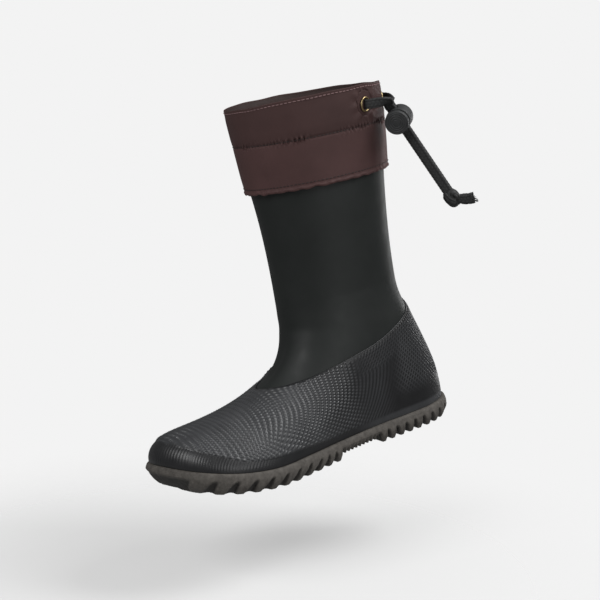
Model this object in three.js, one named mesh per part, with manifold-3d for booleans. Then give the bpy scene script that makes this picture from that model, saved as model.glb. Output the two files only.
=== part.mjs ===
// Left boot of a pair of insulated rubber hunting boots with a nylon cuff, drawcord and cord lock.
// Millimetres, +Z up. The toe points to -X, the outer side of the foot to -Y, and the lugs stand on z = 0.
import * as THREE from "three";
import { mergeVertices } from "three/addons/utils/BufferGeometryUtils.js";
import Module from "manifold-3d";

const wasm = await Module();
wasm.setup();

// ---- Driving dimensions ----
const SOLE_LENGTH = 285;
const SOLE_WIDTH = 104;
const SOLE_THICKNESS = 15; // lugs included, at the heel
const FLANGE_HEIGHT = 10.5; // the widest level of the sole
const LUG_DEPTH = 6;
const RIB_DEPTH = 1.4; // fine ribs under the arch
const TOE_SPRING_BOTTOM = 17.5;
const TOE_SPRING_TOP = 21;
const SPRING_START = -45; // the sole is flat behind this x
const UPPER_INSET = 4.5; // the upper stands this far inside the sole's flange
const ANKLE_HEIGHT = 128.5; // where the leg becomes a plain oval tube
const SHAFT_TOP = 232;
const LINING_TOP = 226;
const CUFF_BOTTOM = 218.5;
const CUFF_TOP = 286.5;
const EYELET_HEIGHT = 273.5;
const PLY = 0.8; // nylon panel
const CORD_WIDTH = 8;
const CORD_THICKNESS = 2.4;
const KNOT_DISTANCE = 77.1; // from the middle of the cord lock to the middle of the knot
const BUTTON_TRAVEL = 2.2;
const GAP = 0.3;
const AROUND = 32; // columns around the upper

// Depth of each layer under the moulded outer surface, outer face then inner face.
const LAYERS = {
  galosh: [-1.2, 0.9],
  stiffener: [1.2, 2.2],
  insulation: [2.5, 5.0],
  lining: [5.3, 6.2],
  shaft: [0, 1.8],
};

// Plan of the sole from the back of the heel, round the outer side, the toe and the inner side.
const SOLE_PLAN = [
  [142.5, 0], [131, -20], [108, -32.5], [80, -35], [48, -35.5],
  [12, -39.5], [-28, -46], [-68, -51.5], [-105, -46.5], [-130, -29],
  [-142.5, 6], [-131, 36], [-106, 48.5], [-70, 51.5], [-30, 44.5],
  [10, 35.5], [48, 31.5], [80, 31.5], [108, 29.5], [131, 19],
];

// Upper edge of the textured galosh, in the same order: high at the heel, low over the instep.
const TOP_LINE = [
  [111.5, 0, 107.5], [107.5, -16, 102.5], [95, -30, 97], [76, -37.5, 90.5], [54, -39.5, 83.5],
  [31, -39.5, 79], [10, -37, 75], [-10, -31, 71], [-26, -21.5, 68.5], [-37, -9.5, 67.5],
  [-39, 2, 66.5], [-32, 12.5, 66.8], [-15.5, 22, 69], [-3, 30.5, 72.5], [12, 35.5, 76],
  [31, 38, 80.5], [54, 38, 84.5], [76, 35.5, 91], [95, 29, 97.5], [107.5, 16, 103],
];

// How the upper leaves the sole and meets the top line at the toe, ball, side and heel.
// at: distance of the station from the toe along the parameter. wall: rise of the lower handle.
// bulge: its outward lean. share and drop: place of the upper handle. lift: handle into the ankle.
const STATIONS = [
  { at: 0.0, wall: 30, bulge: -3.5, share: 0.58, drop: 25, lift: 0.43, hang: 41 },
  { at: 0.15, wall: 10, bulge: 1.5, share: 0.32, drop: 27, lift: 0.45, hang: 26 },
  { at: 0.25, wall: 26, bulge: 5, share: 0.25, drop: 26, lift: 0.6, hang: 20 },
  { at: 0.5, wall: 27, bulge: 2, share: 0.38, drop: 29, lift: 0.3, hang: 11 },
];

const FOOT_ROWS = [0, 0.14, 0.3, 0.48, 0.66, 0.84, 1];
const ANKLE_ROWS = [0, 0.25, 0.5, 0.75, 1];
const LEG_ROWS = [0, 0.34, 0.68, 1];

// ---- Materials ----
const material = (color, roughness, metalness = 0) =>
  new THREE.MeshStandardMaterial({ color, roughness, metalness });
const soleRubber = material(0x3e3b37, 0.75);
const galoshRubber = material(0x2b2c2e, 0.45);
const shaftRubber = material(0x292c2b, 0.5);
const cuffNylon = material(0x3f302f, 0.6);
const feltGrey = material(0x77746c, 0.95);
const knitLining = material(0x4a4a48, 0.9);
const boardFibre = material(0x9c8b6c, 0.85);
const shankGlass = material(0x39413a, 0.5);
const footbedFoam = material(0x56574f, 0.9);
const brass = material(0xb08d4c, 0.35, 1);
const cordBlack = material(0x202022, 0.85);
const lockPlastic = material(0x2a2b2c, 0.45);
const springSteel = material(0xa8a8a4, 0.35, 1);

// ---- Curves ----
const vec = (p) => new THREE.Vector3(p[0], p[1], p[2] ?? 0);
const loop = (points) => new THREE.CatmullRomCurve3(points.map(vec), true, "catmullrom", 0.5);
const planCurve = loop(SOLE_PLAN);
const topLineCurve = loop(TOP_LINE);
const planBox = new THREE.Box3().setFromPoints(planCurve.getPoints(400));
const planSize = planBox.getSize(new THREE.Vector3());
const planCentre = planBox.getCenter(new THREE.Vector3());
const wrap = (u) => ((u % 1) + 1) % 1;

// Point of the sole's plan, scaled to the driving length and width.
function planPoint(u) {
  const p = planCurve.getPoint(wrap(u)).sub(planCentre);
  return new THREE.Vector3((p.x * SOLE_LENGTH) / planSize.x, (p.y * SOLE_WIDTH) / planSize.y, 0);
}

// Horizontal unit vector pointing out of a closed plan that runs clockwise seen from above.
function outward(pointAt, u) {
  const step = 1e-3;
  const along = pointAt(u + step).sub(pointAt(u - step));
  return new THREE.Vector3(along.y, -along.x, 0).normalize().negate();
}

function soleEdge(u, inset) {
  return planPoint(u).addScaledVector(outward(planPoint, u), -inset);
}

const springShare = (x) => Math.pow(Math.max(0, SPRING_START - x) / (SOLE_LENGTH / 2 + SPRING_START), 1.8);

// Height of a level of the sole that is h above the ground at the heel.
function soleHeight(x, h) {
  const bend = TOE_SPRING_BOTTOM + ((TOE_SPRING_TOP - TOE_SPRING_BOTTOM) * h) / SOLE_THICKNESS;
  return h + bend * springShare(x);
}

const topLinePoint = (u) => topLineCurve.getPoint(wrap(u));

function stationValue(u, key) {
  const at = Math.abs(wrap(u) - 0.5);
  const next = STATIONS.findIndex((s) => s.at >= at);
  if (next <= 0) return STATIONS[0][key];
  const a = STATIONS[next - 1];
  const b = STATIONS[next];
  return THREE.MathUtils.lerp(a[key], b[key], THREE.MathUtils.smoothstep(at, a.at, b.at));
}

function bezier(p0, p1, p2, p3, t) {
  return new THREE.CubicBezierCurve3(p0, p1, p2, p3).getPoint(t);
}

// The leg's oval at a height, shrunk by a depth. The angle leans forward so that columns stay upright.
const legCentre = 52.2;
const LEG_NARROWEST = 148.5; // height of the slimmest part of the leg
const legLength = (z) => 54.8 + 0.0011 * (z - LEG_NARROWEST) ** 2;
const legWidth = (z) => 38.2 + 0.065 * (z - ANKLE_HEIGHT);
function legPoint(u, z, depth) {
  const turn = 2 * Math.PI * u + 0.3 * Math.sin(2 * Math.PI * u);
  const x = legCentre + (legLength(z) - depth) * Math.cos(turn);
  return new THREE.Vector3(x, -(legWidth(z) - depth) * Math.sin(turn), z);
}

// Handles of the moulded surface at u. depth moves the whole surface inwards.
function handles(u, depth) {
  const foot = soleEdge(u, UPPER_INSET + depth);
  foot.z = soleHeight(foot.x, SOLE_THICKNESS) + GAP;
  const wall = Math.max(stationValue(u, "wall") - 1.4 * depth, 5);
  const lean = outward(planPoint, u).multiplyScalar(stationValue(u, "bulge"));
  const lower = foot.clone().add(lean).add(new THREE.Vector3(0, 0, wall));

  const edge = topLinePoint(u);
  const reach = soleEdge(u, UPPER_INSET).sub(edge).setZ(0).multiplyScalar(stationValue(u, "share"));
  reach.addScaledVector(outward(planPoint, u), 0.4 * stationValue(u, "bulge"));
  reach.z = -stationValue(u, "drop");
  const inward = outward(topLinePoint, u).negate();
  const slope = Math.atan2(-reach.z, Math.max(0, -reach.dot(inward)));
  const normal = inward.clone().multiplyScalar(-Math.sin(slope)).setZ(Math.cos(slope));
  edge.addScaledVector(normal, -depth);
  return { foot, lower, upper: edge.clone().add(reach), edge, reach };
}

// Point of the boot's upper. v runs 0 to 1 over the foot, 1 to 2 round the ankle and 2 to 3 up the leg.
function upperPoint(u, v, depth, top = SHAFT_TOP) {
  if (v >= 2) return legPoint(u, THREE.MathUtils.lerp(ANKLE_HEIGHT, top, v - 2), depth);
  const h = handles(u, depth);
  if (v <= 1) return bezier(h.foot, h.lower, h.upper, h.edge, v);
  const into = h.edge.clone().addScaledVector(h.reach, -stationValue(u, "lift"));
  const end = legPoint(u, ANKLE_HEIGHT, depth);
  const under = end.clone().setZ(end.z - stationValue(u, "hang"));
  return bezier(h.edge, into, under, end, v - 1);
}

// ---- Solids from grids of points ----
function geometryOf(points, faces) {
  const g = new THREE.BufferGeometry().setFromPoints(points);
  g.setIndex(faces.flat());
  return g;
}

// A closed wall between an outer and an inner grid of points, grid[row][column].
// The columns close on themselves unless open is true. Columns run clockwise seen from above.
function wallBetween(outer, inner, open = false) {
  const rows = outer.length;
  const columns = outer[0].length;
  const at = (side, i, j) => side * rows * columns + i * columns + (j % columns);
  const faces = [];
  const quad = (a, b, c, d) => faces.push([a, b, c], [a, c, d]);
  const last = open ? columns - 1 : columns;
  for (let j = 0; j < last; j++) {
    for (let i = 0; i < rows - 1; i++) {
      quad(at(0, i, j), at(0, i + 1, j), at(0, i + 1, j + 1), at(0, i, j + 1));
      quad(at(1, i, j), at(1, i, j + 1), at(1, i + 1, j + 1), at(1, i + 1, j));
    }
    quad(at(0, 0, j), at(0, 0, j + 1), at(1, 0, j + 1), at(1, 0, j));
    quad(at(0, rows - 1, j), at(1, rows - 1, j), at(1, rows - 1, j + 1), at(0, rows - 1, j + 1));
  }
  if (open) {
    for (let i = 0; i < rows - 1; i++) {
      quad(at(0, i, 0), at(1, i, 0), at(1, i + 1, 0), at(0, i + 1, 0));
      quad(at(0, i, last), at(0, i + 1, last), at(1, i + 1, last), at(1, i, last));
    }
  }
  return geometryOf([...outer.flat(), ...inner.flat()], faces);
}

// A closed stack of rings with a ladder of faces across the first and the last, so that both may curve.
function stack(rings) {
  const n = rings[0].length;
  const faces = [];
  const ladder = (base, up) => {
    for (let k = 0; k < n / 2; k++) {
      const corners = [k, k + 1, n - k - 1, (n - k) % n].map((i) => base + i);
      const [a, b, c, d] = up ? corners : [...corners].reverse();
      if (a !== d) faces.push([a, c, d]);
      if (b !== c) faces.push([a, b, c]);
    }
  };
  for (let i = 0; i < rings.length - 1; i++) {
    for (let j = 0; j < n; j++) {
      const [a, b] = [i * n + j, i * n + ((j + 1) % n)];
      faces.push([a, a + n, b + n], [a, b + n, b]);
    }
  }
  ladder(0, true);
  ladder((rings.length - 1) * n, false);
  return geometryOf(rings.flat(), faces.filter(([a, b, c]) => a !== b && b !== c && a !== c));
}

const times = (n, make) => Array.from({ length: n }, (_, i) => make(i));
const ring = (n, make) => times(n, (i) => make(i / n));

// A flat cord of eight sides along a curve. widthAt gives the direction of its width.
function flatCord(curve, steps, widthAt) {
  const corners = times(8, (i) => {
    const a = ((i + 0.5) * Math.PI) / 4;
    const side = (v) => Math.sign(v) * Math.pow(Math.abs(v), 0.6);
    return [(side(Math.cos(a)) * CORD_WIDTH) / 2, (side(Math.sin(a)) * CORD_THICKNESS) / 2];
  });
  const rings = times(steps + 1, (i) => {
    const t = i / steps;
    const centre = curve.getPoint(t);
    const ahead = curve.getTangent(t);
    const face = new THREE.Vector3().crossVectors(widthAt(t), ahead).normalize();
    const width = new THREE.Vector3().crossVectors(ahead, face);
    return corners.map(([x, y]) => centre.clone().addScaledVector(width, -x).addScaledVector(face, y));
  });
  const faces = [];
  for (let i = 0; i < steps; i++) {
    for (let j = 0; j < 8; j++) {
      const [a, b] = [i * 8 + j, i * 8 + ((j + 1) % 8)];
      faces.push([a, b + 8, a + 8], [a, b, b + 8]);
    }
  }
  for (let j = 1; j < 7; j++) {
    faces.push([0, j + 1, j], [steps * 8, steps * 8 + j, steps * 8 + j + 1]);
  }
  return geometryOf(rings.flat(), faces);
}

// ---- Booleans ----
function toSolid(geometry) {
  const g = geometry.clone();
  g.deleteAttribute("normal");
  g.deleteAttribute("uv");
  const merged = mergeVertices(g, 1e-4);
  return new wasm.Manifold(
    new wasm.Mesh({
      numProp: 3,
      vertProperties: merged.attributes.position.array,
      triVerts: new Uint32Array(merged.index.array),
    }),
  );
}

function toGeometry(solid) {
  const mesh = solid.getMesh();
  const g = new THREE.BufferGeometry();
  g.setAttribute("position", new THREE.BufferAttribute(new Float32Array(mesh.vertProperties), 3));
  g.setIndex(new THREE.BufferAttribute(new Uint32Array(mesh.triVerts), 1));
  return g;
}

const boot = new THREE.Group();
function piece(name, geometry, mat, parent = boot) {
  const flat = geometry.index ? geometry.toNonIndexed() : geometry;
  flat.computeVertexNormals();
  const mesh = new THREE.Mesh(flat, mat);
  mesh.name = name;
  parent.add(mesh);
  return mesh;
}

// ---- Sole unit ----
function soleRing(inset, h, n) {
  return ring(n, (u) => {
    const p = soleEdge(u, inset);
    return p.setZ(soleHeight(p.x, h));
  });
}

const plate = (inset, bottom, top, n = AROUND) => stack([soleRing(inset, bottom, n), soleRing(inset, top, n)]);

// One bar across the sole, bent into a shallow chevron, following the toe spring.
const CHEVRON = 0.12;
function crossBar(x, foot, tip, bottom, top) {
  const reach = SOLE_WIDTH / 2 + 8;
  const section = [[-foot / 2, top], [-tip / 2, bottom], [tip / 2, bottom], [foot / 2, top]];
  const points = [-reach, 0, reach].flatMap((y) =>
    section.map(([dx, h]) => {
      const px = x + dx;
      return new THREE.Vector3(px - CHEVRON * Math.abs(y), y, soleHeight(px, h));
    }),
  );
  const faces = [[0, 1, 2], [0, 2, 3], [8, 10, 9], [8, 11, 10]];
  for (let i = 0; i < 2; i++) {
    for (let j = 0; j < 4; j++) {
      const [a, b] = [i * 4 + j, i * 4 + ((j + 1) % 4)];
      faces.push([a, b + 4, b], [a, a + 4, b + 4]);
    }
  }
  return toSolid(geometryOf(points, faces));
}

const HEEL_LUGS = { first: 132, pitch: 9.6, count: 9, foot: 8.4, tip: 4.6 };
const FOREFOOT_LUGS = { first: 4, pitch: 10.2, growth: 1.05, count: 11, foot: 9, tip: 4.6 };
const ARCH_RIBS = { first: 46, pitch: 4.2, count: 9, foot: 3.2, tip: 1.4 };
const BITE = 1; // how far a lug reaches up into the base
const CENTRE_GROOVE = 7;
const SHANK = { from: -12, to: 74, width: 22, thickness: 1.6 };

// A row of bars towards the toe. With growth, each is that much longer than the last and further on.
function lugRow({ first, pitch, growth = 1, count, foot, tip }, depth) {
  let x = first;
  let scale = 1;
  return times(count, () => {
    const bar = crossBar(x, foot * scale, tip * scale, LUG_DEPTH - depth, LUG_DEPTH + BITE);
    x -= pitch * scale;
    scale *= growth;
    return bar;
  });
}

function outsole() {
  const n = 2 * AROUND;
  const base = toSolid(
    stack([soleRing(3, LUG_DEPTH, n), soleRing(0, FLANGE_HEIGHT, n), soleRing(2.2, SOLE_THICKNESS, n)]),
  );
  const lugZone = toSolid(stack([soleRing(6, -1, n), soleRing(2.4, LUG_DEPTH + 2 * BITE, n)]));
  const bars = [...lugRow(HEEL_LUGS, LUG_DEPTH), ...lugRow(FOREFOOT_LUGS, LUG_DEPTH)];
  const groove = new THREE.BoxGeometry(SOLE_LENGTH, CENTRE_GROOVE, 4 * SOLE_THICKNESS);
  const lugs = wasm.Manifold.union(bars).subtract(toSolid(groove));
  const ribs = wasm.Manifold.union(lugRow(ARCH_RIBS, RIB_DEPTH));
  const pocket = new THREE.BoxGeometry(
    SHANK.to - SHANK.from + 2 * GAP,
    SHANK.width + 2 * GAP,
    2 * (SHANK.thickness + 2 * GAP),
  ).translate((SHANK.from + SHANK.to) / 2, 0, SOLE_THICKNESS);
  return toGeometry(base.add(lugs.add(ribs).intersect(lugZone)).subtract(toSolid(pocket)));
}

function archShank() {
  const g = new THREE.BoxGeometry(SHANK.to - SHANK.from, SHANK.width, SHANK.thickness);
  return g.translate((SHANK.from + SHANK.to) / 2, 0, SOLE_THICKNESS - SHANK.thickness / 2 - GAP);
}

const BOARD = { bottom: SOLE_THICKNESS + GAP, top: SOLE_THICKNESS + 2.1 };
const FELT = { bottom: BOARD.top + GAP, top: BOARD.top + 2.5 };
const FOOTBED = { bottom: FELT.top + GAP, top: FELT.top + 3.3 };

function addSole() {
  piece("outsole", outsole(), soleRubber);
  piece("arch_shank", archShank(), shankGlass);
  piece("insole_board", plate(UPPER_INSET + LAYERS.galosh[1] + 2.2, BOARD.bottom, BOARD.top), boardFibre);
  piece("felt_insole", plate(UPPER_INSET + LAYERS.lining[1] + 2.5, FELT.bottom, FELT.top), feltGrey);
  piece("footbed", plate(UPPER_INSET + LAYERS.lining[1] + 7, FOOTBED.bottom, FOOTBED.top), footbedFoam);
}

// ---- Upper ----
const grid = (rows, columns, make) => rows.map((v) => columns.map((u) => make(u, v)));
const allColumns = ring(AROUND, (u) => u);
const ankleRows = ANKLE_ROWS.map((t) => 1 + t);
const legRows = LEG_ROWS.slice(1).map((t) => 2 + t);

function upperWall(rows, [outer, inner], top) {
  const side = (depth) => grid(rows, allColumns, (u, v) => upperPoint(u, v, depth, top));
  return wallBetween(side(outer), side(inner));
}

// A stiffener covers the columns and rows between two limits.
function stiffener(columns, rows) {
  const [outer, inner] = LAYERS.stiffener;
  const side = (depth) => grid(rows, columns, (u, v) => upperPoint(u, v, depth));
  return wallBetween(side(outer), side(inner), true);
}

function addUpper() {
  const seam = 1.012; // the shaft starts just above the galosh's edge
  piece("galosh_shell", upperWall(FOOT_ROWS, LAYERS.galosh), galoshRubber);
  const shaftRows = [seam, ...ankleRows.slice(1), ...legRows];
  piece("shaft_shell", upperWall(shaftRows, LAYERS.shaft), shaftRubber);
  const linerRows = [...FOOT_ROWS.slice(1), ...ankleRows.slice(1), ...legRows];
  piece("insulation_bootie", upperWall(linerRows, LAYERS.insulation, LINING_TOP), feltGrey);
  piece("knit_lining", upperWall(linerRows, LAYERS.lining, LINING_TOP), knitLining);
  const heelColumns = times(9, (i) => (i - 4) / AROUND);
  const toeColumns = times(9, (i) => 0.5 + (i - 4) / AROUND);
  piece("heel_counter", stiffener(heelColumns, FOOT_ROWS.slice(1, 6)), boardFibre);
  piece("toe_puff", stiffener(toeColumns, FOOT_ROWS.slice(1, 5)), boardFibre);
}

// ---- Cuff ----
const CUFF = { centre: [52.3, 52], length: [64.3, 68.7], width: [46.5, 53.2] };
const CHANNEL_DEPTH = 5.4; // outer panel's face to the inner panel

function cuffPoint(turn, z, depth) {
  const share = (z - CUFF_BOTTOM) / (CUFF_TOP - CUFF_BOTTOM);
  const at = ([bottom, top]) => THREE.MathUtils.lerp(bottom, top, share);
  const x = at(CUFF.centre) + (at(CUFF.length) - depth) * Math.cos(turn);
  return new THREE.Vector3(x, -(at(CUFF.width) - depth) * Math.sin(turn), z);
}

function cuffPanel(bottom, top, depth) {
  const heights = times(4, (i) => THREE.MathUtils.lerp(bottom, top, i / 3));
  const turns = ring(AROUND, (u) => 2 * Math.PI * u);
  const side = (d) => grid(heights, turns, (turn, z) => cuffPoint(turn, z, d));
  return wallBetween(side(depth), side(depth + PLY));
}

// Local frame on the cuff's outer face: +Z points out of the fabric, +Y up.
function cuffFrame(turn) {
  const here = cuffPoint(turn, EYELET_HEIGHT, 0);
  const up = cuffPoint(turn, EYELET_HEIGHT + 1, 0).sub(here).normalize();
  const along = cuffPoint(turn + 0.01, EYELET_HEIGHT, 0).sub(cuffPoint(turn - 0.01, EYELET_HEIGHT, 0));
  const out = new THREE.Vector3().crossVectors(up, along).normalize();
  const side = new THREE.Vector3().crossVectors(up, out).normalize();
  return new THREE.Matrix4().makeBasis(side, up, out).setPosition(here);
}

const EYELETS = [
  { name: "near", turn: THREE.MathUtils.degToRad(70) },
  { name: "far", turn: THREE.MathUtils.degToRad(18) },
];
const EYELET = { bore: 4.4, barrel: 5, flange: 6.2, thickness: 1.1, washer: 6.1 };
const ROUND = 16;

// A ring turned about local +Z from a closed profile of (radius, height) points.
function turned(profile, segments = ROUND) {
  const points = [...profile, profile[0]].map(([r, h]) => new THREE.Vector2(r, h));
  return new THREE.LatheGeometry(points, segments).rotateX(Math.PI / 2);
}

function eyeletGeometry() {
  const { bore, barrel, flange, thickness } = EYELET;
  return turned([
    [bore, -PLY - 1.8], [barrel, -PLY - 1.8], [barrel, GAP], [flange, GAP],
    [flange - 0.2, GAP + 0.6 * thickness], [flange - 1, GAP + thickness], [bore, GAP + 0.5 * thickness],
  ]);
}

function washerGeometry() {
  const face = -PLY - 3.5 * GAP;
  const inner = EYELET.barrel + GAP;
  return turned([[inner, face - 0.5], [EYELET.washer, face - 0.5], [EYELET.washer, face], [inner, face]]);
}

function addCuff() {
  let outer = toSolid(cuffPanel(CUFF_BOTTOM, CUFF_TOP, 0));
  for (const { turn } of EYELETS) {
    const hole = new THREE.CylinderGeometry(EYELET.barrel + GAP, EYELET.barrel + GAP, 8, ROUND);
    outer = outer.subtract(toSolid(hole.rotateX(Math.PI / 2).applyMatrix4(cuffFrame(turn))));
  }
  piece("cuff_outer_panel", toGeometry(outer), cuffNylon);
  piece("cuff_inner_panel", cuffPanel(LINING_TOP + 2 * GAP, CUFF_TOP - 1, CHANNEL_DEPTH + 2.6), cuffNylon);
  for (const { name, turn } of EYELETS) {
    const frame = cuffFrame(turn);
    piece(`eyelet_${name}`, eyeletGeometry().applyMatrix4(frame), brass);
    piece(`eyelet_washer_${name}`, washerGeometry().applyMatrix4(frame), brass);
  }
}

// ---- Drawcord and cord lock ----
// The lock's own frame: +X runs from the button into the barrel, +Y down the hanging cord.
const LOCK_CENTRE = new THREE.Vector3(101.8, -55, 256.7);
const cordWay = new THREE.Vector3(0.368, -0.209, -0.906).normalize();
const barrelWay = new THREE.Vector3(0.763, 0.624, 0.167);
barrelWay.addScaledVector(cordWay, -barrelWay.dot(cordWay)).normalize();
const acrossCord = new THREE.Vector3().crossVectors(barrelWay, cordWay);
const alongCord = (distance, back = 0) =>
  LOCK_CENTRE.clone().addScaledVector(cordWay, distance).addScaledVector(barrelWay, back);

// The two strands lie face to face through the lock, this far either side of its middle.
const STRAND_OFFSET = CORD_THICKNESS / 2 + GAP / 2;
const KNOT_RADII = [5.6, 8, 6.5];
const STRAND_END = KNOT_DISTANCE - KNOT_RADII[1] - GAP;
const BENDS = {
  near: [[80.5, -56.4, 273.4], [86.6, -58.6, 273.2], [92, -57.3, 272.4]],
  far: [[120.2, -21, 272.6], [116, -28.8, 271.8], [110.6, -36.5, 271.4], [104.8, -44, 271.8]],
};

function strand({ name, turn }) {
  const back = name === "near" ? -STRAND_OFFSET : STRAND_OFFSET;
  const frame = cuffFrame(turn);
  const through = [-0.6, 2.4].map((out) => new THREE.Vector3(0, 0, out).applyMatrix4(frame));
  const straight = [-9, 0, 20, 45, STRAND_END].map((s) => alongCord(s, back));
  straight.unshift(alongCord(-14, 1.9 * back));
  const curve = new THREE.CatmullRomCurve3([...through, ...BENDS[name].map(vec), ...straight]);
  const up = new THREE.Vector3(0, 0, 1);
  const across = acrossCord.clone().negate();
  const widthAt = (t) => up.clone().lerp(across, THREE.MathUtils.smoothstep(t, 0.02, 0.45));
  return flatCord(curve, 26, widthAt);
}

// The cord inside the channel, the long way round from one eyelet to the other.
function channelRun() {
  const [near, far] = EYELETS.map((e) => e.turn);
  const clear = 0.14;
  const depth = (PLY + CHANNEL_DEPTH) / 2 + 0.9;
  const points = times(16, (i) => {
    const turn = THREE.MathUtils.lerp(near + clear, far + 2 * Math.PI - clear, i / 15);
    return cuffPoint(turn, EYELET_HEIGHT, depth);
  });
  return flatCord(new THREE.CatmullRomCurve3(points), 26, () => new THREE.Vector3(0, 0, 1));
}

const BARREL = { radius: 10, bore: 8.4, mouth: -5.6, boreEnd: 7.2, pocketEnd: 9.4, back: 11 };
const PLUNGER = { radius: 8.1, head: 9.6, face: -12.4, headBack: -8.2, end: 4.6 };
const CORD_SLOT = { half: 3.1, height: 4.5 }; // along the barrel and across the cord
const RINGS = [2.8, 4.8, 6.8]; // grooves in the button's face
const SPRING = { radius: 2.2, wire: 0.25, turns: 4 };

// A solid turned about the barrel's axis, local +X, from (radius, place along the axis) points.
const barrelTurned = (profile) =>
  toSolid(
    new THREE.LatheGeometry(profile.map(([r, x]) => new THREE.Vector2(r, x)), 20).rotateZ(-Math.PI / 2),
  );

function slotCutter(from, to) {
  const box = new THREE.BoxGeometry(to - from, 3 * BARREL.radius, 2 * CORD_SLOT.height);
  return toSolid(box.translate((from + to) / 2, 0, 0));
}

function lockBody() {
  const { radius, bore, mouth, boreEnd, pocketEnd, back } = BARREL;
  const outer = barrelTurned([
    [0, mouth], [radius - 0.4, mouth], [radius, mouth + 0.5], [radius, back - 2.4],
    [radius - 0.8, back - 0.8], [radius - 2.4, back], [0, back],
  ]);
  const hole = barrelTurned([[0, mouth - 1], [bore, mouth - 1], [bore, boreEnd], [0, boreEnd]]);
  const pocketRadius = SPRING.radius + 2 * GAP;
  const pocket = barrelTurned([
    [0, boreEnd - 1], [pocketRadius, boreEnd - 1], [pocketRadius, pocketEnd], [0, pocketEnd],
  ]);
  const slot = slotCutter(-CORD_SLOT.half, CORD_SLOT.half);
  return toGeometry(outer.subtract(hole).subtract(pocket).subtract(slot));
}

function lockPlunger() {
  const { radius, head, face, headBack, end } = PLUNGER;
  const rings = RINGS.flatMap((r) => [[r, face], [r + 0.2, face + 0.4], [r + 0.6, face + 0.4], [r + 0.8, face]]);
  const body = barrelTurned([
    [0, face], ...rings, [head, face + 1], [head, headBack], [radius, headBack], [radius, end], [0, end],
  ]);
  return toGeometry(body.subtract(slotCutter(-CORD_SLOT.half - BUTTON_TRAVEL, CORD_SLOT.half - GAP)));
}

function lockSpring() {
  const [from, to] = [PLUNGER.end + GAP + SPRING.wire, BARREL.pocketEnd - GAP - SPRING.wire];
  class Coil extends THREE.Curve {
    getPoint(t, target = new THREE.Vector3()) {
      const a = 2 * Math.PI * SPRING.turns * t;
      return target.set(from + (to - from) * t, SPRING.radius * Math.cos(a), SPRING.radius * Math.sin(a));
    }
  }
  const section = new THREE.Shape().absarc(0, 0, SPRING.wire, 0, 2 * Math.PI);
  const options = { steps: 9 * SPRING.turns, extrudePath: new Coil(), curveSegments: 2 };
  return new THREE.ExtrudeGeometry(section, options);
}

// Where the tails leave the knot, and how far they droop and reach.
const TAIL = { down: 4.7, out: 7.1, droop: 4, reach: 7.8 };

function addDrawcord() {
  for (const eyelet of EYELETS) piece(`drawcord_strand_${eyelet.name}`, strand(eyelet), cordBlack);
  piece("drawcord_channel_run", channelRun(), cordBlack);

  const lock = new THREE.Group();
  lock.quaternion.setFromRotationMatrix(new THREE.Matrix4().makeBasis(barrelWay, cordWay, acrossCord));
  lock.position.copy(LOCK_CENTRE);
  boot.add(lock);
  piece("cord_lock_body", lockBody(), lockPlastic, lock);
  piece("cord_lock_button", lockPlunger(), lockPlastic, lock);
  piece("cord_lock_spring", lockSpring(), springSteel, lock);

  const knot = new THREE.SphereGeometry(1, 14, 10).scale(...KNOT_RADII).translate(0, KNOT_DISTANCE, 0);
  piece("cord_knot", knot, cordBlack, lock);
  for (const [name, back, droop] of [["near", -1.6, 0], ["far", 1.6, 2.2]]) {
    const from = new THREE.Vector3(back, KNOT_DISTANCE + TAIL.down, -TAIL.out);
    const to = from.clone().add(new THREE.Vector3(0.6 * back, TAIL.droop + droop, -TAIL.reach));
    const line = new THREE.LineCurve3(from, to);
    piece(`cord_tail_${name}`, flatCord(line, 3, () => new THREE.Vector3(0, 1, 0)), cordBlack, lock);
  }
}

addSole();
addUpper();
addCuff();
addDrawcord();

export default boot;
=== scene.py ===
"""Looks of an insulated rubber hunting boot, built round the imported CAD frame.

Lengths are in millimetres while shapes are worked out, and in metres once they are Blender meshes.
The toe points to -X, the outer side of the foot to -Y, and the lugs stand on z = 0.
"""

import math

import bpy
import numpy as np
from mathutils import Matrix, Vector


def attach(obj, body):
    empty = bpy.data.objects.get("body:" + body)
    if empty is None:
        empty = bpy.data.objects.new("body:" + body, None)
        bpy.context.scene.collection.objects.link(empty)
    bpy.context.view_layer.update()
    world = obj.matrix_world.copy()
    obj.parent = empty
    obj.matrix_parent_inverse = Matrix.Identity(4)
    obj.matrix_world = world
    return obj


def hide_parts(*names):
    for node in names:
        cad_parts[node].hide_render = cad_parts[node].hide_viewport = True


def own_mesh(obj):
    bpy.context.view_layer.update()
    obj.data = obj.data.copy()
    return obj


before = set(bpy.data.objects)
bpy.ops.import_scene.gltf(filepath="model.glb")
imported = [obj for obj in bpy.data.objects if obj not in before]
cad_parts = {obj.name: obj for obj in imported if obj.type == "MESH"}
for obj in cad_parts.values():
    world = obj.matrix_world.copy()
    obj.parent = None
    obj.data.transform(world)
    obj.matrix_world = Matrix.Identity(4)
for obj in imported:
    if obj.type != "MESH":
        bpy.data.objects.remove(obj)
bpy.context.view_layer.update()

MM = 0.001
Z = np.array([0.0, 0.0, 1.0])

# ---- Driving dimensions, the same as the frame's ----
SOLE_LENGTH = 285
SOLE_WIDTH = 104
SOLE_THICKNESS = 15
FLANGE_HEIGHT = 10.5
LUG_DEPTH = 6
TOE_SPRING_BOTTOM = 17.5
TOE_SPRING_TOP = 21
SPRING_START = -45
UPPER_INSET = 4.5
ANKLE_HEIGHT = 128.5
LEG_NARROWEST = 148.5
LEG_CENTRE = 52.2
SHAFT_TOP = 232
LINING_TOP = 226
CUFF_BOTTOM = 218.5
CUFF_TOP = 286.5
EYELET_HEIGHT = 273.5
PLY = 0.8
CORD_WIDTH = 8
CORD_THICKNESS = 2.4
KNOT_DISTANCE = 77.1
BUTTON_TRAVEL = 2.2
GAP = 0.3

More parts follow.
